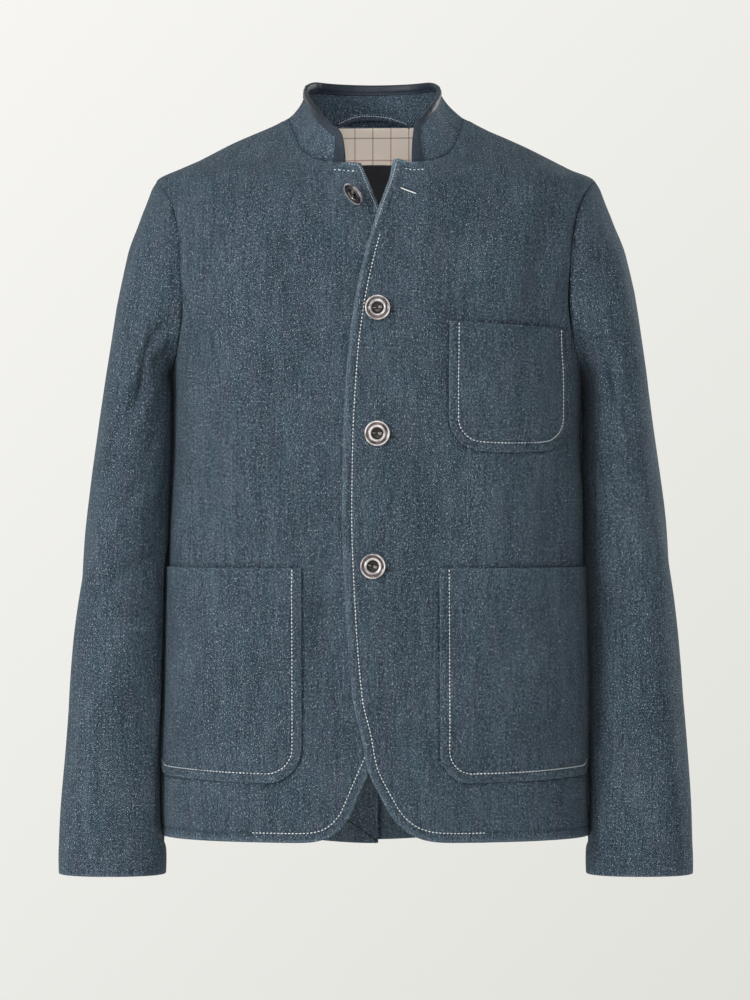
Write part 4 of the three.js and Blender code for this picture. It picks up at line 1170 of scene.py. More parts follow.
def build_pocket(name, node, pocket, material):
    """Makes the cloth of a patch pocket, over the cloth of its front."""
    height = pocket["top"] - pocket["bottom"]
    corner = pocket["corner"]
    bow = corner * (1 - np.cos(np.linspace(0, QUARTER, 20)))
    rows = np.concatenate([bow, spread(height - corner, (0,), (0, 0.7, 1.6, 3, 5), 3.6)[1:] + corner])
    rows = np.maximum(rows, 0.03) + pocket["bottom"]
    near, far = pocket_turns(pocket, rows, 0)
    edge = np.array(EDGE_STEPS[:15])
    width = np.linalg.norm(body(near, rows) - body(far, rows), axis=-1)
    inner = np.linspace(0, 1, int(width.max() / 3.8))[1:-1]
    turns = []
    for k, z in enumerate(rows):
        fine = np.linspace(near[k], far[k], 120)
        length = lengths_along(body(fine, np.full(120, z)))
        squeeze = min(1, length[-1] / (3 * edge[-1]))
        low, high = edge[-1] * squeeze, length[-1] - edge[-1] * squeeze
        steps = np.concatenate([edge * squeeze, mix(low, high, inner), (length[-1] - edge * squeeze)[::-1]])
        turns.append(np.interp(steps, length, fine))
    turns = np.array(turns)
    heights = np.repeat(rows[:, None], turns.shape[1], 1)
    inside = pocket_inside(pocket, turns, heights)
    heights = heights + pocket_slope(pocket, turns, heights)
    points = pocket_surface(pocket, turns, heights, np.maximum(inside, 0))
    across = lengths_across(points)
    middle = across[:, [across.shape[1] // 2]]
    pattern = np.stack([(across - middle) * pocket["panel"]["side"] + 37 + pocket["seed"], heights + 3.3], -1)
    top_edge = pocket["top"] - heights
    # Pale rubbed edges, and painted shade in the topstitching's groove.
    wear_and_shade = 0.25 * bump(np.minimum(inside, top_edge), 0, 1.3) - 0.6 * bump(inside, STITCH_INSET, 1.3)
    piece = cloth_mesh(name, points, pattern, POCKET_CLOTH, material, upright(heights), wear_and_shade=wear_and_shade)
    return finish_piece(piece, [node])


# Topstitching, placed by geometry nodes along lines of points that lie on the cloth
STITCH_TREE = "Lay stitches along seams"
# Pitch, length, width and height in metres of the stitches of each finer seam
OPENING_STITCH = (0.0025, 0.0013, 0.0006, 0.0005)
LOOP_STITCH = (0.0023, 0.0016, 0.0006, 0.0005)
# The vent's mitre is drawn as near-black beads: a painted shadow along its seam.
MITRE_SHADOW_BEADS = (0.0012, 0.0014, 0.0013, 0.0007)
BINDING_STITCH = (0.0034, 0.0024, 0.0006, 0.0005)
BUTTONHOLE_STITCH = (0.0007, 0.0011, 0.0013, 0.0008)
BAR_STITCH = (0.0011, 0.0022, 0.0013)  # its height is that of the topstitching


def stitch_tree():
    """Geometry Nodes that set stitches along lines, standing on the cloth by its outward direction."""
    tree = bpy.data.node_groups.new(STITCH_TREE, "GeometryNodeTree")
    face = tree.interface
    face.new_socket("Geometry", in_out="INPUT", socket_type="NodeSocketGeometry")
    for label, value in (("Pitch", 0.0039), ("Length", 0.0028), ("Width", 0.0009), ("Height", 0.0007)):
        socket = face.new_socket(label, in_out="INPUT", socket_type="NodeSocketFloat")
        socket.default_value = value
        socket.subtype = "DISTANCE"
    face.new_socket("Seed", in_out="INPUT", socket_type="NodeSocketInt").default_value = 4
    face.new_socket("Thread", in_out="INPUT", socket_type="NodeSocketMaterial")
    face.new_socket("Geometry", in_out="OUTPUT", socket_type="NodeSocketGeometry")
    given = add_node(tree, "NodeGroupInput").outputs

    def node(kind, inputs=None, **settings):
        return add_node(tree, kind, inputs, **settings).outputs[0]

    def uneven(low, high):
        inputs = {0: low, 1: high, "Seed": given["Seed"]}
        return node("FunctionNodeRandomValue", inputs, data_type="FLOAT_VECTOR")

    line = node("GeometryNodeMeshToCurve", {"Mesh": given["Geometry"]})
    points = node("GeometryNodeResampleCurve", {"Curve": line, "Length": given["Pitch"]}, mode="LENGTH")
    outward = node("GeometryNodeInputNamedAttribute", {"Name": "outward"}, data_type="FLOAT_VECTOR")
    axes = {"Primary Axis": outward, "Secondary Axis": node("GeometryNodeInputTangent")}
    turned = node("FunctionNodeAxesToRotation", axes, primary_axis="Z", secondary_axis="X")
    ball = node("GeometryNodeMeshUVSphere", {"Segments": 8, "Rings": 5, "Radius": 0.5})
    size = node("ShaderNodeCombineXYZ", {"X": given["Length"], "Y": given["Width"], "Z": given["Height"]})
    stitch = node("GeometryNodeTransform", {"Geometry": ball, "Scale": size})
    smooth = node("GeometryNodeSetShadeSmooth", {"Geometry": stitch})
    made = node("GeometryNodeInstanceOnPoints", {"Points": points, "Instance": smooth, "Rotation": turned})
    lean = uneven((-0.05, -0.03, -0.09), (0.05, 0.03, 0.09))
    made = node("GeometryNodeRotateInstances", {"Instances": made, "Rotation": lean})
    stretch = uneven((0.86, 0.9, 0.9), (1.06, 1.1, 1.1))
    made = node("GeometryNodeScaleInstances", {"Instances": made, "Scale": stretch})
    made = node("GeometryNodeRealizeInstances", {"Geometry": made})
    made = node("GeometryNodeSetMaterial", {"Geometry": made, "Material": given["Thread"]})
    add_node(tree, "NodeGroupOutput", {"Geometry": made})
    return tree


def lay_stitches(name, lines, material, sizes, seed):
    """Sews along lines, each a pair of points in millimetres and outward directions."""
    tree = bpy.data.node_groups.get(STITCH_TREE) or stitch_tree()
    places = np.concatenate([line for line, _ in lines]) * MM
    outward = np.concatenate([way for _, way in lines])
    edges, begin = [], 0
    for line, _ in lines:
        edges += [(begin + k, begin + k + 1) for k in range(len(line) - 1)]
        begin += len(line)
    mesh = bpy.data.meshes.new(name + "_lines")
    mesh.from_pydata(places.tolist(), edges, [])
    field = mesh.attributes.new("outward", "FLOAT_VECTOR", "POINT")
    field.data.foreach_set("vector", outward.astype(np.float32).ravel())
    guide = add_object(name + "_lines", mesh)
    modifier = guide.modifiers.new("Lay stitches", "NODES")
    modifier.node_group = tree
    values = dict(zip(("Pitch", "Length", "Width", "Height"), sizes), Seed=seed, Thread=material)
    for item in tree.interface.items_tree:
        if item.item_type == "SOCKET" and item.in_out == "INPUT" and item.name in values:
            modifier[item.identifier] = values[item.name]
    evaluated = guide.evaluated_get(bpy.context.evaluated_depsgraph_get())
    made = bpy.data.meshes.new_from_object(evaluated)
    bpy.data.objects.remove(guide)
    if not made.polygons:
        raise RuntimeError(f"{name} has no stitches")
    return finish_piece(add_object(name, made), [])


def even_line(points, spacing=1.5):
    """The same line with points at an even spacing."""
    run = lengths_along(points)
    steps = np.linspace(0, run[-1], max(2, int(run[-1] / spacing)))
    return np.stack([np.interp(steps, run, points[:, k]) for k in range(points.shape[1])], -1)


def inset_line(outline, inset, side):
    """A line that runs inside an outline seen from the front, with its kinks smoothed away."""
    line = even_line(outline, 1.0)
    for _ in range(6):
        line[1:-1] = (line[:-2] + 2 * line[1:-1] + line[2:]) / 4
    along = np.gradient(line, axis=0)
    along = along / np.linalg.norm(along, axis=1, keepdims=True)
    moved = line + np.stack([along[:, 1], -along[:, 0]], -1) * inset * side
    keep = distance_to(outline, moved[:, 0], moved[:, 1]) > inset - 0.4
    return moved[keep]


def on_panel(panel, line, lift):
    """Puts a line seen from the front on a front's cloth, with the outward directions there."""
    turn = turn_at(line[:, 0], line[:, 1])
    point = front_surface(panel, turn, line[:, 1])
    outward = surface_normal(front_surface, panel, turn, line[:, 1])
    return point + outward * (DENIM / 2 + lift), outward


def front_stitch_lines(panel, stop_x, open_to):
    """Where a front is topstitched: along its tab, and from a height down its edge, round the corner
    and along the hem."""
    side, outline = panel["side"], panel["outline"]
    beyond = [[panel["collar_end"] + 8 * side, NECK_FRONT]]
    line = inset_line(np.concatenate([beyond, outline]), STITCH_INSET, -side)
    past = (line[:, 1] < -640) & (side * line[:, 0] > abs(stop_x))
    line = line[: int(np.argmax(past)) if past.any() else len(line)]
    low = even_line(line[line[:, 1] < open_to])
    on_tab = (line[:, 1] > TAB_LOW - STITCH_INSET - 4) & (side * line[:, 0] > panel["tab_stop"])
    tab = line[on_tab]
    tab = even_line(tab) if len(tab) > 2 else tab
    return [on_panel(panel, part, 0.12) for part in (tab, low) if len(part) > 2]


def mitre_line():
    """Where the inner vent flap's turnings meet, on the flap's inner face."""
    line = even_line(MITRE, 1.0)
    turn = turn_at(line[:, 0], line[:, 1], back=True)
    outward = surface_normal(back_surface, BACK_RIGHT, turn, line[:, 1])
    point = back_surface(BACK_RIGHT, turn, line[:, 1])
    return point - outward * (DENIM / 2 + 0.4 * FACING + 0.2), -outward


def pocket_stitch_line(pocket):
    """Where a pocket is topstitched: down one side, round its bottom and up the other."""
    panel = pocket["panel"]
    inset = STITCH_INSET
    low = pocket["bottom"] + inset
    corner = pocket["corner"] - inset
    straight = np.linspace(pocket["top"] - 1.5, low + corner, 70)[:-1]
    rounded = low + corner * (1 - np.sin(np.linspace(0, QUARTER, 30)))
    heights = np.concatenate([straight, rounded])
    near, far = pocket_turns(pocket, heights, inset)
    bottom = np.linspace(near[-1], far[-1], 60)[1:-1]
    if pocket["far"]:
        up_turn, up_z = far[::-1], heights[::-1]
    else:
        up_turn, up_z = far[::-1][:14], heights[::-1][:14]
    turn = np.concatenate([near, bottom, up_turn])
    z = np.concatenate([heights, np.full(58, heights[-1]), up_z])
    z = z + pocket_slope(pocket, turn, z)

    def over(panel_, at_turn, at_z):
        square = before_slope(pocket, at_turn, at_z)
        return pocket_surface(pocket, at_turn, at_z, pocket_inside(pocket, at_turn, square))

    point = over(panel, turn, z)
    outward = surface_normal(over, panel, turn, z)
    joined = even_line(np.concatenate([point, outward], 1))
    outward = unit(joined[:, 3:])
    return joined[:, :3] + outward * (POCKET_CLOTH / 2 + 0.12), outward


# Buttons and buttonholes
BUTTONS = (
    ("second_button", "button_2", 1.5, -181),
    ("third_button", "button_3", 1, -299),
    ("fourth_button", "button_4", -3, -424),
)
LOOSE = dict(x=-19.5, z=-75.5, off=11.0, tilt=1.13, towards=0.69)
HOLE_ASIDE, HOLE_BELOW, HOLE_LENGTH, HOLE_SLOPE = 8.5, 3.2, 19, -0.05
TOP_HOLE = dict(x=30.5, z=-69, length=16, slope=-0.38)
TOP_BAR = dict(z=-70.2, reach=6.4, drop=2.5)  # the row of thread across the top buttonhole


def on_front(panel, x, z):
    x, z = np.array(float(x)), np.array(float(z))
    turn = turn_at(x, z)
    return front_surface(panel, turn, z), surface_normal(front_surface, panel, turn, z)


def join_rings(bm, pairs, slot):
    """Makes faces between each pair of rings of points."""
    for low, high in pairs:
        for k in range(len(low)):
            m = (k + 1) % len(low)
            made = bm.faces.new((low[k], low[m], high[m], high[k]))
            made.material_index = slot
            made.smooth = True


def lathe(bm, profile, steps, slot):
    """Turns a closed profile of (radius, height) about Z into bm, in millimetres."""
    turns = [2 * math.pi * k / steps for k in range(steps)]
    rings = [[bm.verts.new((r * math.cos(a), r * math.sin(a), h)) for a in turns] for r, h in profile]
    join_rings(bm, zip(rings, rings[1:] + rings[:1]), slot)


def smooth_profile(points, times=2):
    """Rounds a closed profile by cutting its corners."""
    for _ in range(times):
        rounded = []
        for a, b in zip(points, points[1:] + points[:1]):
            rounded.append((a[0] * 0.75 + b[0] * 0.25, a[1] * 0.75 + b[1] * 0.25))
            rounded.append((a[0] * 0.25 + b[0] * 0.75, a[1] * 0.25 + b[1] * 0.75))
        points = rounded
    return points


# How thick a rod is, as a share of its radius, at each share of its length
ROD_ENDS = (
    (0, 0.05), (0.03, 0.6), (0.09, 0.95), (0.3, 1), (0.5, 1), (0.7, 1), (0.91, 0.95), (0.97, 0.6), (1, 0.05),
)


def rod(bm, start, end, radius, slot, steps=10, squash=1.0, bow=0.0):
    """A round-ended rod between two points, bowed up in its middle."""
    start, end = Vector(start), Vector(end)
    axis = (end - start).normalized()
    up = Vector((0, 0, 1)) if abs(axis.z) < 0.9 else Vector((1, 0, 0))
    side = axis.cross(up).normalized()
    up = side.cross(axis).normalized()
    turns = [2 * math.pi * k / steps for k in range(steps)]
    rings = []
    for t, share in ROD_ENDS:
        middle = start.lerp(end, t) + up * bow * math.sin(math.pi * t)
        ways = [(side * math.cos(a) + up * math.sin(a) * squash) * radius * share for a in turns]
        rings.append([bm.verts.new(middle + way) for way in ways])
    join_rings(bm, zip(rings, rings[1:]), slot)
    for ring in (rings[0], rings[-1]):
        bm.faces.new(ring).material_index = slot


def button_mesh(name, shank_run, materials):
    """A dished button about Z with a bar across its bowl, the thread over the bar and its shank."""
    bm = bmesh.new()
    outer = [
        (10.4, 0.9), (10.8, 0.4), (11.9, 1.2), (12, 2.4), (11.6, 3.3), (11.1, 3.5), (10.7, 3.3), (10.4, 2.7),
    ]
    groove = [(7.7, 0.6), (10.6, 0.7), (10.7, 2.8), (9.8, 2.2), (8.9, 2.0), (8.1, 2.3), (7.7, 2.8)]
    inner = [(5.6, 0.7), (7.9, 0.8), (8.05, 2.8), (7.7, 3.2), (7.1, 3.35), (6.4, 3.1), (5.9, 2.5), (5.6, 1.8)]
    lathe(bm, smooth_profile(outer), 72, 0)
    # The groove takes slot 4, a darker look: painted shade in its hollow.
    lathe(bm, smooth_profile(groove, 1), 72, 4)
    lathe(bm, smooth_profile(inner), 72, 5)
    # The bowl's floor closes the openings beside the bar; its dark paints the shade seen through them, while
    # the wall and bar are dark horn.
    bowl = [(5.55, 0.75), (5.55, 2.3), (5.25, 2.1), (5.0, 1.2), (0.4, 1.0), (0.4, 0.6), (5.2, 0.6)]
    lathe(bm, smooth_profile(bowl, 1), 48, 1)
    rod(bm, (-5.4, 0, 1.75), (5.4, 0, 1.75), 1.15, 1, 12, 0.7)
    for k, offset in enumerate((-0.75, 0.05, 0.8)):
        rod(bm, (0.7, offset, 2.25), (4.5, offset * 0.8, 2.15), 0.48, 2, 8, 0.9, 0.35)
    rod(bm, (-4.4, 0.1, 2.1), (-1.6, -0.1, 2.2), 0.45, 2, 8, 0.9, 0.25)
    rod(bm, (0, 0, 0.9), shank_run, 1.0, 3, 10)
    bmesh.ops.recalc_face_normals(bm, faces=bm.faces)
    return mesh_from(bm, name, materials)


def place_button(name, node, foot, direction, spin, shank_end, materials):
    """Builds a button standing at foot along a direction and turned about it; the shank ends at a point."""
    direction = Vector(direction).normalized()
    turn = direction.to_track_quat("Z", "Y").to_matrix().to_4x4() @ Matrix.Rotation(spin, 4, "Z")
    place = Matrix.Translation(Vector(foot)) @ turn
    run = place.inverted() @ Vector(shank_end)
    mesh = button_mesh(name, run, materials)
    mesh.transform(Matrix.Scale(MM, 4) @ place)
    mesh.update()
    return finish_piece(add_object(name, mesh), [node])


def buttonhole(name, x, z, length, slope, thread, dark, seed):
    """A worked buttonhole on the left front: a bead of thread round the slit, each sunk in the cloth; the
    slit is a near-black rod, painted shade.
    """
    turns = np.linspace(0, 2 * math.pi, 60)
    half, high = length / 2, 1.15
    ring_x = half * np.cos(turns)
    ring_x = np.sign(ring_x) * np.minimum(np.abs(ring_x) * 1.08, half)
    ring_z = high * np.sin(turns)
    xs = x + ring_x * math.cos(slope) - ring_z * math.sin(slope)
    zs = z + ring_x * math.sin(slope) + ring_z * math.cos(slope)
    ring = on_panel(FRONT_LEFT, np.stack([xs, zs], -1), 0.1)
    lay_stitches(name, [ring], thread, BUTTONHOLE_STITCH, seed)
    bm = bmesh.new()
    _, way = on_front(FRONT_LEFT, x, z)
    ahead, _ = on_front(FRONT_LEFT, x + half * math.cos(slope), z + half * math.sin(slope))
    behind, _ = on_front(FRONT_LEFT, x - half * math.cos(slope), z - half * math.sin(slope))
    lift = Vector(way) * (DENIM / 2 + 0.02)
    # A near-black rod along the slit: painted shade.
    rod(bm, Vector(behind) + lift, Vector(ahead) + lift, 0.5, 0, 8)
    bmesh.ops.recalc_face_normals(bm, faces=bm.faces)
    mesh = mesh_from(bm, name + "_slit_painted_shade", [dark])
    mesh.transform(Matrix.Scale(MM, 4))
    finish_piece(add_object(name + "_slit_painted_shade", mesh), [])


# Materials
TWILL_PITCH = 0.0018  # from one slanting rib of the denim to the next, in metres


def add_node(tree, kind, inputs=None, **settings):
    """Adds a node, sets its properties, and fills its sockets with values or links."""
    made = tree.nodes.new(kind)
    for key, value in settings.items():
        setattr(made, key, value)
    for key, value in (inputs or {}).items():
        socket = made.inputs[key]
        if isinstance(value, bpy.types.NodeSocket):
            tree.links.new(value, socket)
        else:
            socket.default_value = value
    return made


def new_material(name, roughness, **sockets):
    """A material with a Principled shader whose constant values are set on its own sockets."""
    material = bpy.data.materials.new(name)
    material.use_nodes = True
    shader = material.node_tree.nodes["Principled BSDF"]
    shader.inputs["Roughness"].default_value = roughness
    for key, value in sockets.items():
        shader.inputs[key.replace("_", " ")].default_value = value
    return material, material.node_tree, shader


def opaque(colour):
    return (*colour[:3], 1.0)


def ramp_colours(tree, factor, stops):
    made = add_node(tree, "ShaderNodeValToRGB", {"Fac": factor})
    elements = made.color_ramp.elements
    while len(elements) < len(stops):
        elements.new(0.5)
    for element, (place, colour) in zip(elements, stops):
        element.position = place
        element.color = opaque(colour)
    return made.outputs["Color"]


def compute(tree, operation, *values):
    """The result of a sum on values or links."""
    return add_node(tree, "ShaderNodeMath", dict(enumerate(values)), operation=operation).outputs[0]


def blend(tree, share, under, over):
    """One colour over another, as far as a share says."""
    made = add_node(tree, "ShaderNodeMix", {"Factor": share, "A": under, "B": over}, data_type="RGBA")
    return made.outputs["Result"]


def rescale(tree, value, low, high, to_low=0.0, to_high=1.0, kind="LINEAR"):
    """Takes low to to_low and high to to_high, and holds the value there beyond them."""
    inputs = {"Value": value, "From Min": low, "From Max": high, "To Min": to_low, "To Max": to_high}
    return add_node(tree, "ShaderNodeMapRange", inputs, interpolation_type=kind).outputs["Result"]


def add_relief(tree, shader, height, strength, distance):
    """Gives a shader a bump of that height."""
    inputs = {"Height": height, "Strength": strength, "Distance": distance}
    made = add_node(tree, "ShaderNodeBump", inputs)
    tree.links.new(made.outputs["Normal"], shader.inputs["Normal"])


def cloth_grain(tree, place, size_x, size_y, detail=2.0, rough=0.55, turn=0.0):
    """Noise whose grains are that many metres wide and high on the flat cloth."""
    inputs = {"Vector": place, "Scale": (1 / size_x, 1 / size_y, 1), "Rotation": (0, 0, turn)}
    mapped = add_node(tree, "ShaderNodeMapping", inputs).outputs["Vector"]
    inputs = {"Vector": mapped, "Scale": 1.0, "Detail": detail, "Roughness": rough}
    return add_node(tree, "ShaderNodeTexNoise", inputs, noise_dimensions="2D").outputs["Fac"]


def weighted_sum(tree, start, parts):
    """start plus each factor's distance from a half, times its weight."""
    total = start
    for factor, weight in parts:
        scaled = compute(tree, "MULTIPLY_ADD", factor, weight, -0.5 * weight)
        total = compute(tree, "ADD", total, scaled)
    return total


def denim_material(name, colours, shift):
    """Slubby indigo twill, matt, from dyed warp over pale weft.

    To the eye it is a blue-grey speckle with faint slanting ribs, uneven upright streaks where the
    warp is thick and thin, and short pale flecks where the weft shows.
    """
    sockets = dict(Specular_IOR_Level=0.18, Sheen_Weight=0.12, Sheen_Roughness=0.5)
    material, tree, shader = new_material(name, 0.92, **sockets)
    shader.inputs["Sheen Tint"].default_value = opaque(linear("#8FA0AE"))
    flat = add_node(tree, "ShaderNodeUVMap", uv_map="cloth").outputs["UV"]
    moved = add_node(tree, "ShaderNodeMapping", {"Vector": flat, "Location": (shift, shift * 1.7, 0)})
    place = moved.outputs["Vector"]
    speck = cloth_grain(tree, place, 0.00090, 0.00105, 1.0, 0.6)  # yarn crossings, drawn a little large
    fine = cloth_grain(tree, place, 0.0020, 0.0024, 2.0, 0.6)
    slub = cloth_grain(tree, place, 0.0021, 0.026, 2.0, 0.6)
    weft = cloth_grain(tree, place, 0.022, 0.0019, 1.0, 0.5)
    streak = cloth_grain(tree, place, 0.009, 0.085, 2.0, 0.6)
    cloud = cloth_grain(tree, place, 0.045, 0.075, 2.0, 0.55)
    slant = add_node(tree, "ShaderNodeMapping", {"Vector": place, "Rotation": (0, 0, math.radians(-38))})
    ribs = {"Scale": 0.31416 / TWILL_PITCH, "Distortion": 1.0, "Detail": 1.0, "Detail Scale": 2.0}
    ribs["Vector"] = slant.outputs["Vector"]
    twill = add_node(tree, "ShaderNodeTexWave", ribs, bands_direction="Y").outputs["Fac"]
    # The mesh's painted tone: rubbed edges paler, painted shade in seams, stitch grooves and round pockets
    # darker, and painted light on the backs' inner faces.
    worn = add_node(tree, "ShaderNodeAttribute", attribute_name="wear_and_shade").outputs["Fac"]
    yarns = [(speck, 1.5), (fine, 0.7), (slub, 0.42), (weft, 0.08)]
    yarns += [(streak, 0.24), (cloud, 0.20), (twill, 0.3)]
    tone = compute(tree, "MULTIPLY_ADD", worn, 0.24, weighted_sum(tree, 0.475, yarns))
    paint = ramp_colours(tree, tone, list(zip((0.0, 0.32, 0.52, 0.74, 1.0), colours)))
    dye = cloth_grain(tree, place, 0.016, 0.06, 3.0, 0.6, 0.04)
    paint = blend(tree, rescale(tree, dye, 0.50, 0.75, 0.0, 0.20), paint, opaque(linear("#31505C")))
    paint = blend(tree, rescale(tree, dye, 0.50, 0.25, 0.0, 0.22), paint, opaque(linear("#4A4C5E")))
    dots = rescale(tree, cloth_grain(tree, place, 0.0010, 0.0014, 0.0), 0.775, 0.855, 0.0, 0.9)
    dashes = rescale(tree, cloth_grain(tree, place, 0.0008, 0.0036, 0.0), 0.81, 0.89, 0.0, 0.7)
    paint = blend(tree, compute(tree, "MAXIMUM", dots, dashes), paint, opaque(colours[5]))
    tree.links.new(paint, shader.inputs["Base Color"])
    height = weighted_sum(tree, 0.5, [(speck, 0.8), (twill, 0.5), (slub, 0.5), (fine, 0.4)])
    add_relief(tree, shader, height, 0.5, 0.0005)
    return material


def leather_material(colours):
    """Smooth dyed calf, pressed and polished: near black navy with a soft sheen and a fine pebble."""
    material, tree, shader = new_material("navy leather", 0.42, Specular_IOR_Level=0.32)
    flat = add_node(tree, "ShaderNodeTexCoord").outputs["Object"]
    pores = add_node(tree, "ShaderNodeTexVoronoi", {"Vector": flat, "Scale": 1 / 0.0011, "Randomness": 1.0})
    cloud = add_node(tree, "ShaderNodeTexNoise", {"Vector": flat, "Scale": 60.0, "Detail": 3.0})
    tone = weighted_sum(tree, 0.5, [(cloud.outputs["Fac"], 0.9), (pores.outputs["Distance"], 0.25)])
    base = ramp_colours(tree, tone, [(0.2, colours[0]), (0.8, colours[1])])
    tree.links.new(base, shader.inputs["Base Color"])
    shine = rescale(tree, cloud.outputs["Fac"], 0.0, 1.0, 0.40, 0.55)
    tree.links.new(shine, shader.inputs["Roughness"])
    add_relief(tree, shader, pores.outputs["Distance"], 0.25, 0.0002)
    return material


def lining_material(colours):
    """Light cotton sateen, woven with a windowpane check of single brown and rose yarns."""
    sockets = dict(Specular_IOR_Level=0.3, Sheen_Weight=0.1)
    material, tree, shader = new_material("checked cotton lining", 0.62, **sockets)
    flat = add_node(tree, "ShaderNodeUVMap", uv_map="cloth")
    cross = add_node(tree, "ShaderNodeSeparateXYZ", {"Vector": flat.outputs["UV"]})
    weave = cloth_grain(tree, flat.outputs["UV"], 0.0006, 0.0012, 1.0)
    cloud = cloth_grain(tree, flat.outputs["UV"], 0.03, 0.03, 2.0)
    tone = weighted_sum(tree, 0.5, [(weave, 0.5), (cloud, 0.35)])
    paint = ramp_colours(tree, tone, [(0.2, colours[0]), (0.8, colours[1])])
    for axis, pitch, offset, colour, strength in (
        ("X", 0.0356, 0.0031, colours[2], 0.62),
        ("X", 0.0356, 0.0209, colours[3], 0.62),
        ("Y", 0.0380, 0.0047, colours[2], 0.6),
        ("Y", 0.0380, 0.0256, colours[3], 0.62),
    ):
        moved = compute(tree, "ADD", cross.outputs[axis], offset)
        away = compute(tree, "PINGPONG", moved, pitch / 2)
        line = rescale(tree, away, 0.0003, 0.0008, strength, 0.0, "SMOOTHSTEP")
        paint = blend(tree, line, paint, opaque(colour))
    tree.links.new(paint, shader.inputs["Base Color"])
    add_relief(tree, shader, weave, 0.3, 0.0002)
    return material


def plain_material(name, low, high, roughness, grain, strength, **sockets):
    """A material with two close colours in soft patches and a fine bump of that grain in metres."""
    material, tree, shader = new_material(name, roughness, **sockets)
    flat = add_node(tree, "ShaderNodeTexCoord").outputs["Object"]
    patch = add_node(tree, "ShaderNodeTexNoise", {"Vector": flat, "Scale": 0.35 / grain, "Detail": 3.0})
    fine = add_node(tree, "ShaderNodeTexNoise", {"Vector": flat, "Scale": 1 / grain, "Detail": 2.0})
    base = ramp_colours(tree, patch.outputs["Fac"], [(0.35, low), (0.65, high)])
    tree.links.new(base, shader.inputs["Base Color"])
    add_relief(tree, shader, fine.outputs["Fac"], strength, 0.0003)
    return material


# Settings that a user may change


def length_setting(name, description, default):
    return bpy.props.FloatProperty(name=name, description=description, default=default, unit="LENGTH")


class JacketSizes(bpy.types.PropertyGroup):
    """Sizes of the topstitching."""

    pitch: length_setting("Stitch pitch", "From the start of one stitch to the next", 0.0035)
    stitch_length: length_setting("Stitch length", "Thread that shows in each stitch", 0.0025)
    stitch_width: length_setting("Stitch width", "Width of the thread as it lies", 0.0011)
    stitch_height: length_setting("Stitch height", "Height of the thread over the cloth", 0.00085)


def colour_setting(name, description, hex_colour):
    return bpy.props.FloatVectorProperty(
        name=name, description=description, default=linear(hex_colour), size=3, min=0, max=1, subtype="COLOR"
    )


class JacketColours(bpy.types.PropertyGroup):
    """Colours of the cloth, the trim and the thread."""

    denim_0: colour_setting("Denim, darkest", "Gaps between the yarns", "#0D151D")
    denim_1: colour_setting("Denim, dark", "Deeply dyed warp", "#232F3B")
    denim_2: colour_setting("Denim, middle", "The cloth's general colour", "#35434F")
    denim_3: colour_setting("Denim, light", "Worn warp", "#4C5A67")
    denim_4: colour_setting("Denim, palest", "Crests of the twill", "#72808B")
    fleck: colour_setting("Weft fleck", "Pale weft that shows through", "#A9B6BE")
    leather_dark: colour_setting("Leather, dark", "Leather in its hollows", "#0F1722")
    leather_light: colour_setting("Leather, light", "Leather on its crests", "#222E3B")
    lining_dark: colour_setting("Lining, dark", "Shaded cotton", "#E6D5C7")
    lining_light: colour_setting("Lining, light", "Cotton in the light", "#F7EBDF")
    check_brown: colour_setting("Check, brown", "Brown yarns of the check", "#7A5650")
    check_rose: colour_setting("Check, rose", "Rose yarns of the check", "#A8555C")
    label: colour_setting("Label", "Black woven label", "#16161A")
    thread: colour_setting("Topstitch thread", "Off-white thread", "#E8ECEE")
    rim_dark: colour_setting("Button, dark", "Dark veins of the button", "#857B7D")
    rim_light: colour_setting("Button, light", "Pale parts of the button", "#E8E1E0")
    bowl: colour_setting("Button bowl", "The bowl and its bar", "#100D0E")


def fade_floor(material):
    """Lets the floor go over into the pale backdrop, as the sweep of a studio has no far edge."""
    tree = material.node_tree
    here = add_node(tree, "ShaderNodeTexCoord").outputs["Object"]
    far = add_node(tree, "ShaderNodeVectorMath", {0: here, 1: (1, 1, 0)}, operation="MULTIPLY")
    reach = add_node(tree, "ShaderNodeVectorMath", {0: far.outputs[0]}, operation="LENGTH")
    faded = rescale(tree, reach.outputs["Value"], 0.9, 4.0, 0.0, 1.0, "SMOOTHSTEP")
    clear = add_node(tree, "ShaderNodeBsdfTransparent").outputs[0]
    inputs = {"Fac": faded, 1: tree.nodes["Principled BSDF"].outputs[0], 2: clear}
    both = add_node(tree, "ShaderNodeMixShader", inputs)
    tree.links.new(both.outputs[0], tree.nodes["Material Output"].inputs["Surface"])
    return material


# How far the pattern of each denim is moved, in metres, so that neighbours don't repeat each other
DENIM_SHIFTS = {
    "indigo denim twill": 0.0,
    "indigo denim twill, sleeves": 0.31,
    "indigo denim twill, pockets": 0.53,
}
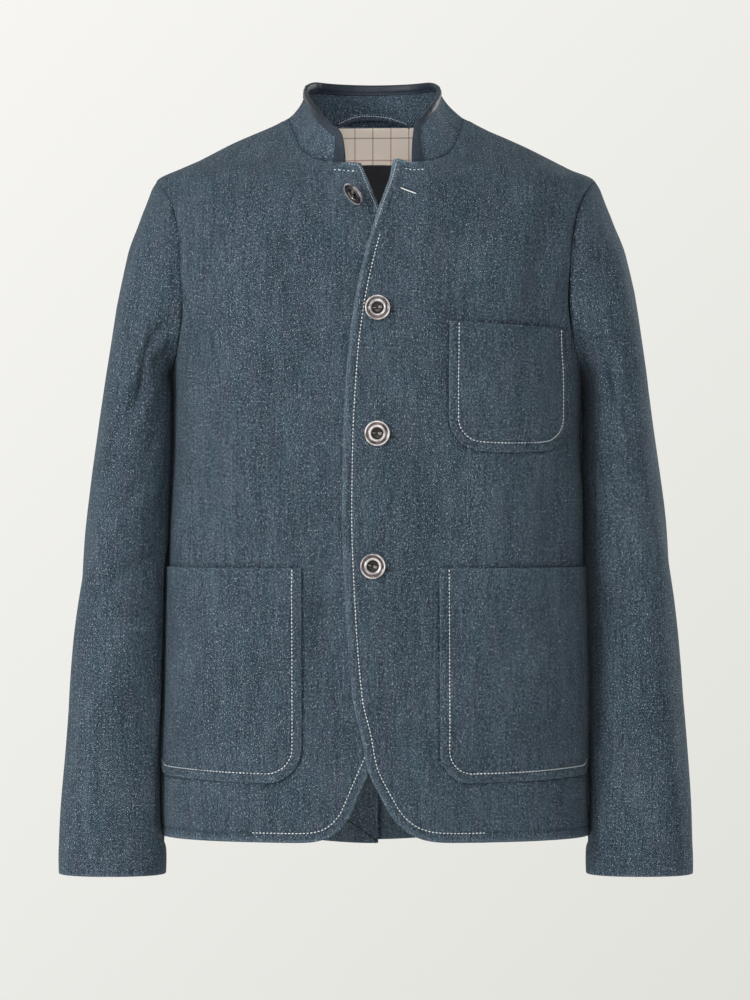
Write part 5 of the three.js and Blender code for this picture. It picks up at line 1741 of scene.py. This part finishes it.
# The two colours of each plain material, which are a setting's name or a hex value, its roughness, its
# grain in metres, the strength of its bump and its shader's other sockets
PLAIN = {
    "black woven label": ("label", "#202126", 0.55, 0.0006, 0.4, dict(Sheen_Weight=0.2)),
    "off-white cotton thread": ("#CFD6DA", "thread", 0.7, 0.0005, 0.3, dict(Sheen_Weight=0.2)),
    "waxed button thread": ("#6E665F", "#A89E94", 0.6, 0.0005, 0.3, {}),
    "navy buttonhole thread": ("#1F2932", "#33404B", 0.75, 0.0005, 0.4, {}),
    # Near-black: painted shade in a buttonhole's slit and along the vent's mitre seam.
    "painted slit and seam shade": ("#0A0D10", "#12161A", 0.9, 0.0005, 0.2, {}),
    "polished horn rim": (
        "rim_dark", "rim_light", 0.16, 0.0035, 0.12,
        dict(Specular_IOR_Level=0.7, Coat_Weight=0.6, Coat_Roughness=0.05),
    ),
    # Darker copies of the polished horn rim for the tilted top button, deeper and lighter: painted shade.
    "horn rim painted in shade": (
        "#0B0B0D", "#2B2B30", 0.12, 0.0035, 0.1, dict(Coat_Weight=1.0, Coat_Roughness=0.04, Coat_IOR=1.9),
    ),
    "horn rim painted in half shade": ("#2F2D31", "#A8A1A4", 0.14, 0.0035, 0.1, dict(Coat_Weight=0.8, Coat_Roughness=0.05)),
    # The groove painted darker: painted shade in its hollow.
    "horn groove in painted shade": (
        "bowl", "#6C6062", 0.2, 0.0022, 0.15,
        dict(Specular_IOR_Level=0.5, Coat_Weight=0.5, Coat_Roughness=0.08),
    ),
    # Dark horn for the bowl's wall and bar; on the bowl's floor it paints the shade seen through the
    # openings.
    "dark horn bowl and painted hole shade": ("bowl", "#1E1A1A", 0.3, 0.0015, 0.15, {}),
    "pale studio floor": ("#F4F4F0", "#F6F6F2", 0.9, 0.5, 0.0, {}),
}


def look(name):
    """The material of that name, made once from the scene's colours."""
    found = bpy.data.materials.get(name)
    if found:
        return found
    c = bpy.context.scene.jacket_colours
    if name in DENIM_SHIFTS:
        colours = [c.denim_0, c.denim_1, c.denim_2, c.denim_3, c.denim_4, c.fleck]
        return denim_material(name, colours, DENIM_SHIFTS[name])
    if name == "navy leather":
        return leather_material([c.leather_dark, c.leather_light])
    if name == "checked cotton lining":
        return lining_material([c.lining_dark, c.lining_light, c.check_brown, c.check_rose])
    low, high, roughness, grain, strength, sockets = PLAIN[name]
    pair = [linear(colour) if colour[0] == "#" else getattr(c, colour) for colour in (low, high)]
    return plain_material(name, *pair, roughness, grain, strength, **sockets)


# Operators, one for each piece or group of like pieces


class JACKET_OT_topstitching(bpy.types.Operator):
    """Sews the off-white stitches of the fronts, the pockets and the loop"""

    bl_idname = "jacket.topstitching"
    bl_label = "Topstitching"

    def execute(self, context):
        s = context.scene.jacket_sizes
        sizes = (s.pitch, s.stitch_length, s.stitch_width, s.stitch_height)
        thread = look("off-white cotton thread")
        lay_stitches("left_front_stitches", front_stitch_lines(FRONT_LEFT, 103, -112), thread, sizes, 3)
        lay_stitches("right_front_stitches", front_stitch_lines(FRONT_RIGHT, -117, -500), thread, sizes, 5)
        for name, panel, low in (("left", FRONT_LEFT, -104), ("right", FRONT_RIGHT, -96)):
            edge = inset_line(panel["outline"], 2.0, -panel["side"])
            edge = even_line(edge[(edge[:, 1] > low) & (edge[:, 1] < TAB_LOW - 1)], 1.0)
            line = on_panel(panel, edge, 0.08)
            lay_stitches(name + "_opening_stitches", [line], thread, OPENING_STITCH, 17)
        for name, pocket, seed in (
            ("breast_pocket_stitches", CHEST, 7),
            ("left_pocket_stitches", HIP_LEFT, 9),
            ("right_pocket_stitches", HIP_RIGHT, 11),
        ):
            lay_stitches(name, [pocket_stitch_line(pocket)], thread, sizes, seed)
        point, inward = loop_surface(np.linspace(-0.97, 0.97, 60), np.full(60, 0.78))
        line = (point + inward * (LOOP_THICK / 2 + 0.25), inward)
        lay_stitches("loop_stitches", [line], thread, LOOP_STITCH, 13)
        # Near-black beads along the vent's mitre seam: a painted shadow.
        lay_stitches("vent_mitre_painted_shadow", [mitre_line()], look("painted slit and seam shade"), MITRE_SHADOW_BEADS, 19)
        navy = look("navy buttonhole thread")
        lay_stitches("binding_stitches", binding_stitch_lines(), navy, BINDING_STITCH, 15)
        return {"FINISHED"}


class JACKET_OT_fronts(bpy.types.Operator):
    """Builds the two fronts with their folded, topstitched edges"""

    bl_idname = "jacket.fronts"
    bl_label = "Fronts"

    def execute(self, context):
        denim = look("indigo denim twill")
        build_panel("left_front", "front_left", FRONT_LEFT, "front", denim)
        build_panel("right_front", "front_right", FRONT_RIGHT, "front", denim)
        return {"FINISHED"}


class JACKET_OT_backs(bpy.types.Operator):
    """Builds the two backs, which lap at the vent"""

    bl_idname = "jacket.backs"
    bl_label = "Backs"

    def execute(self, context):
        denim = look("indigo denim twill")
        build_panel("left_back", "back_left", BACK_LEFT, "back", denim)
        build_panel("right_back", "back_right", BACK_RIGHT, "back", denim)
        return {"FINISHED"}


class JACKET_OT_sleeves(bpy.types.Operator):
    """Builds the two sleeves"""

    bl_idname = "jacket.sleeves"
    bl_label = "Sleeves"

    def execute(self, context):
        denim = look("indigo denim twill, sleeves")
        build_sleeve("left_sleeve", "sleeve_left", 1, 61, denim)
        build_sleeve("right_sleeve", "sleeve_right", -1, 67, denim)
        return {"FINISHED"}


class JACKET_OT_collar(bpy.types.Operator):
    """Builds the stand collar, its leather binding and the hanging loop"""

    bl_idname = "jacket.collar"
    bl_label = "Collar"

    def execute(self, context):
        build_collar(look("indigo denim twill"))
        build_binding(look("navy leather"))
        build_loop(look("indigo denim twill, pockets"))
        return {"FINISHED"}


class JACKET_OT_neck_lining(bpy.types.Operator):
    """Builds the checked lining and the label inside the upper back"""

    bl_idname = "jacket.neck_lining"
    bl_label = "Lining and label"

    def execute(self, context):
        build_lining(look("checked cotton lining"))
        build_label(look("black woven label"))
        return {"FINISHED"}


class JACKET_OT_pockets(bpy.types.Operator):
    """Builds the three patch pockets on the fronts"""

    bl_idname = "jacket.pockets"
    bl_label = "Pockets"

    def execute(self, context):
        denim = look("indigo denim twill, pockets")
        build_pocket("breast_pocket", "chest_pocket", CHEST, denim)
        build_pocket("left_patch_pocket", "hip_pocket_left", HIP_LEFT, denim)
        build_pocket("right_patch_pocket", "hip_pocket_right", HIP_RIGHT, denim)
        return {"FINISHED"}


class JACKET_OT_buttons(bpy.types.Operator):
    """Builds the four dished buttons and the worked buttonholes"""

    bl_idname = "jacket.buttons"
    bl_label = "Buttons"

    def execute(self, context):
        thread, waxed = look("off-white cotton thread"), look("waxed button thread")
        # dark is the near-black look that paints the shade in the slits.
        dark, navy = look("painted slit and seam shade"), look("navy buttonhole thread")
        rim, bowl = look("polished horn rim"), look("dark horn bowl and painted hole shade")
        # Slot 1 also paints the shade under the bowl's openings, and slot 4 the shade in the groove.
        materials = [rim, bowl, waxed, navy, look("horn groove in painted shade"), rim]
        for k, (name, node, x, z) in enumerate(BUTTONS):
            point, way = on_front(FRONT_LEFT, x, z)
            under, _ = on_front(FRONT_RIGHT, x, z)
            foot = point + way * (DENIM / 2 + 0.5)
            lean = Vector(way) + Vector((0.03 * (k - 1), 0, 0.05 - 0.03 * k))
            end = under + way * (DENIM / 2 + 0.2)
            place_button(name, node, foot, lean, 0.12 - 0.2 * k, end, materials)
            hole = (x + HOLE_ASIDE, z - HOLE_BELOW, HOLE_LENGTH, HOLE_SLOPE)
            buttonhole(name + "_hole", *hole, navy, dark, 21 + k)
        under, way = on_front(FRONT_RIGHT, LOOSE["x"], LOOSE["z"])
        tilt, towards = LOOSE["tilt"], LOOSE["towards"]
        flat = math.sin(tilt)
        facing = Vector((-flat * math.cos(towards), -math.cos(tilt), -flat * math.sin(towards)))
        foot = under + way * LOOSE["off"]
        # The tilted top button takes darker copies of the other buttons' looks: painted shade.
        shaded_button_looks = [look("horn rim painted in half shade"), bowl, waxed, navy, bowl, look("horn rim painted in shade")]
        place_button("top_button", "button_1", foot, facing, 0.9, under + way * (DENIM / 2 + 0.2), shaded_button_looks)
        buttonhole("top_buttonhole", *TOP_HOLE.values(), navy, dark, 31)
        stops = []
        for share in np.linspace(-1, 1, 12):
            x = TOP_HOLE["x"] + TOP_BAR["reach"] * share
            stops.append(on_front(FRONT_LEFT, x, TOP_BAR["z"] - TOP_BAR["drop"] * share))
        ways = np.array([out for _, out in stops])
        line = (np.array([at for at, _ in stops]) + ways * (DENIM / 2 + 0.5), ways)
        sizes = (*BAR_STITCH, context.scene.jacket_sizes.stitch_height)
        lay_stitches("top_buttonhole_bar", [line], thread, sizes, 33)
        return {"FINISHED"}


# Place, height that it is aimed at, size in metres, power in watts and spread in degrees of each lamp
LAMPS = (
    ("key softbox", (-2.5, -2.3, 0.4), -0.35, 0.9, 62.0, 180),
    ("neck reflector", (-0.1, -2.4, 0.75), -0.35, 0.5, 7.0, 180),
    ("lining card", (0.0, -0.55, 0.27), -0.03, 0.06, 0.034, 18),
    ("back softbox", (2.6, 1.9, 0.5), -0.35, 1.0, 44.0, 180),
)
FLOOR_Z = -1.45
EYE = (-0.001, -4.0, -0.3618)
PICTURE_WIDTH = 0.97  # what the picture takes in from side to side, in metres, 4 metres away


def build_floor():
    bm = bmesh.new()
    place = Matrix.Translation((0, 0, FLOOR_Z))
    bmesh.ops.create_circle(bm, cap_ends=True, segments=96, radius=4.2, matrix=place)
    return add_object("floor", mesh_from(bm, "floor", [fade_floor(look("pale studio floor"))]))


def build_world():
    """A pale backdrop that darkens a little to the right, and gives less light from above."""
    world = bpy.data.worlds.new("pale studio")
    world.use_nodes = True
    tree = world.node_tree
    place = add_node(tree, "ShaderNodeTexCoord").outputs["Generated"]
    way = add_node(tree, "ShaderNodeSeparateXYZ", {"Vector": place}).outputs
    share = rescale(tree, compute(tree, "SUBTRACT", way["X"], way["Z"]), -0.21, 0.21)
    shade = ramp_colours(tree, share, [(0.0, linear("#F7F6F2")), (1.0, linear("#E1E1DC"))])
    tree.links.new(shade, tree.nodes["Background"].inputs["Color"])
    ceiling = rescale(tree, way["Z"], 0.25, 0.8, 1.0, 0.5)
    right = rescale(tree, way["X"], 0.2, 0.85, 1.0, 0.86)
    power = compute(tree, "MULTIPLY", ceiling, right)
    tree.links.new(power, tree.nodes["Background"].inputs["Strength"])
    return world


def add_lamp(name, place, aim_height, size, power, spread_angle):
    light = bpy.data.lights.new(name, "AREA")
    light.shape = "SQUARE"
    light.size = size
    light.energy = power
    light.spread = math.radians(spread_angle)
    lamp = add_object(name, light)
    lamp.location = place
    aim = Vector((0, 0, aim_height)) - Vector(place)
    lamp.rotation_euler = aim.to_track_quat("-Z", "Y").to_euler()


def build_camera():
    camera = bpy.data.cameras.new("camera")
    camera.sensor_width = 36
    camera.lens = 36 * 4.0 / PICTURE_WIDTH
    eye = add_object("camera", camera)
    eye.location = EYE
    eye.rotation_euler = (QUARTER, 0, 0)
    return eye


class JACKET_OT_stage(bpy.types.Operator):
    """Sets the pale floor, the soft lights and the camera"""

    bl_idname = "jacket.stage"
    bl_label = "Stage"

    def execute(self, context):
        scene = context.scene
        scene.view_settings.view_transform = "Standard"
        build_floor()
        scene.world = build_world()
        for name, place, aim_height, size, power, spread_angle in LAMPS:
            add_lamp(name, place, aim_height, size, power, spread_angle)
        scene.camera = build_camera()
        return {"FINISHED"}


OPERATORS = (
    JACKET_OT_topstitching,
    JACKET_OT_fronts,
    JACKET_OT_backs,
    JACKET_OT_sleeves,
    JACKET_OT_collar,
    JACKET_OT_neck_lining,
    JACKET_OT_pockets,
    JACKET_OT_buttons,
    JACKET_OT_stage,
)


class JACKET_PT_build(bpy.types.Panel):
    """Lists the jacket's pieces and settings in the sidebar"""

    bl_idname = "JACKET_PT_build"
    bl_label = "Denim jacket"
    bl_space_type = "VIEW_3D"
    bl_region_type = "UI"
    bl_category = "Jacket"

    def draw(self, context):
        for operator in OPERATORS:
            self.layout.operator(operator.bl_idname)
        for settings in (context.scene.jacket_sizes, context.scene.jacket_colours):
            for name in settings.bl_rna.properties.keys():
                if name not in ("rna_type", "name"):
                    self.layout.prop(settings, name)


CLASSES = (JacketSizes, JacketColours, *OPERATORS, JACKET_PT_build)


def register():
    for each in CLASSES:
        bpy.utils.register_class(each)
    bpy.types.Scene.jacket_sizes = bpy.props.PointerProperty(type=JacketSizes)
    bpy.types.Scene.jacket_colours = bpy.props.PointerProperty(type=JacketColours)


def unregister():
    del bpy.types.Scene.jacket_colours
    del bpy.types.Scene.jacket_sizes
    for each in reversed(CLASSES):
        bpy.utils.unregister_class(each)


def main():
    register()
    for operator in OPERATORS:
        group, name = operator.bl_idname.split(".")
        getattr(getattr(bpy.ops, group), name)()


if __name__ == "__main__":
    main()
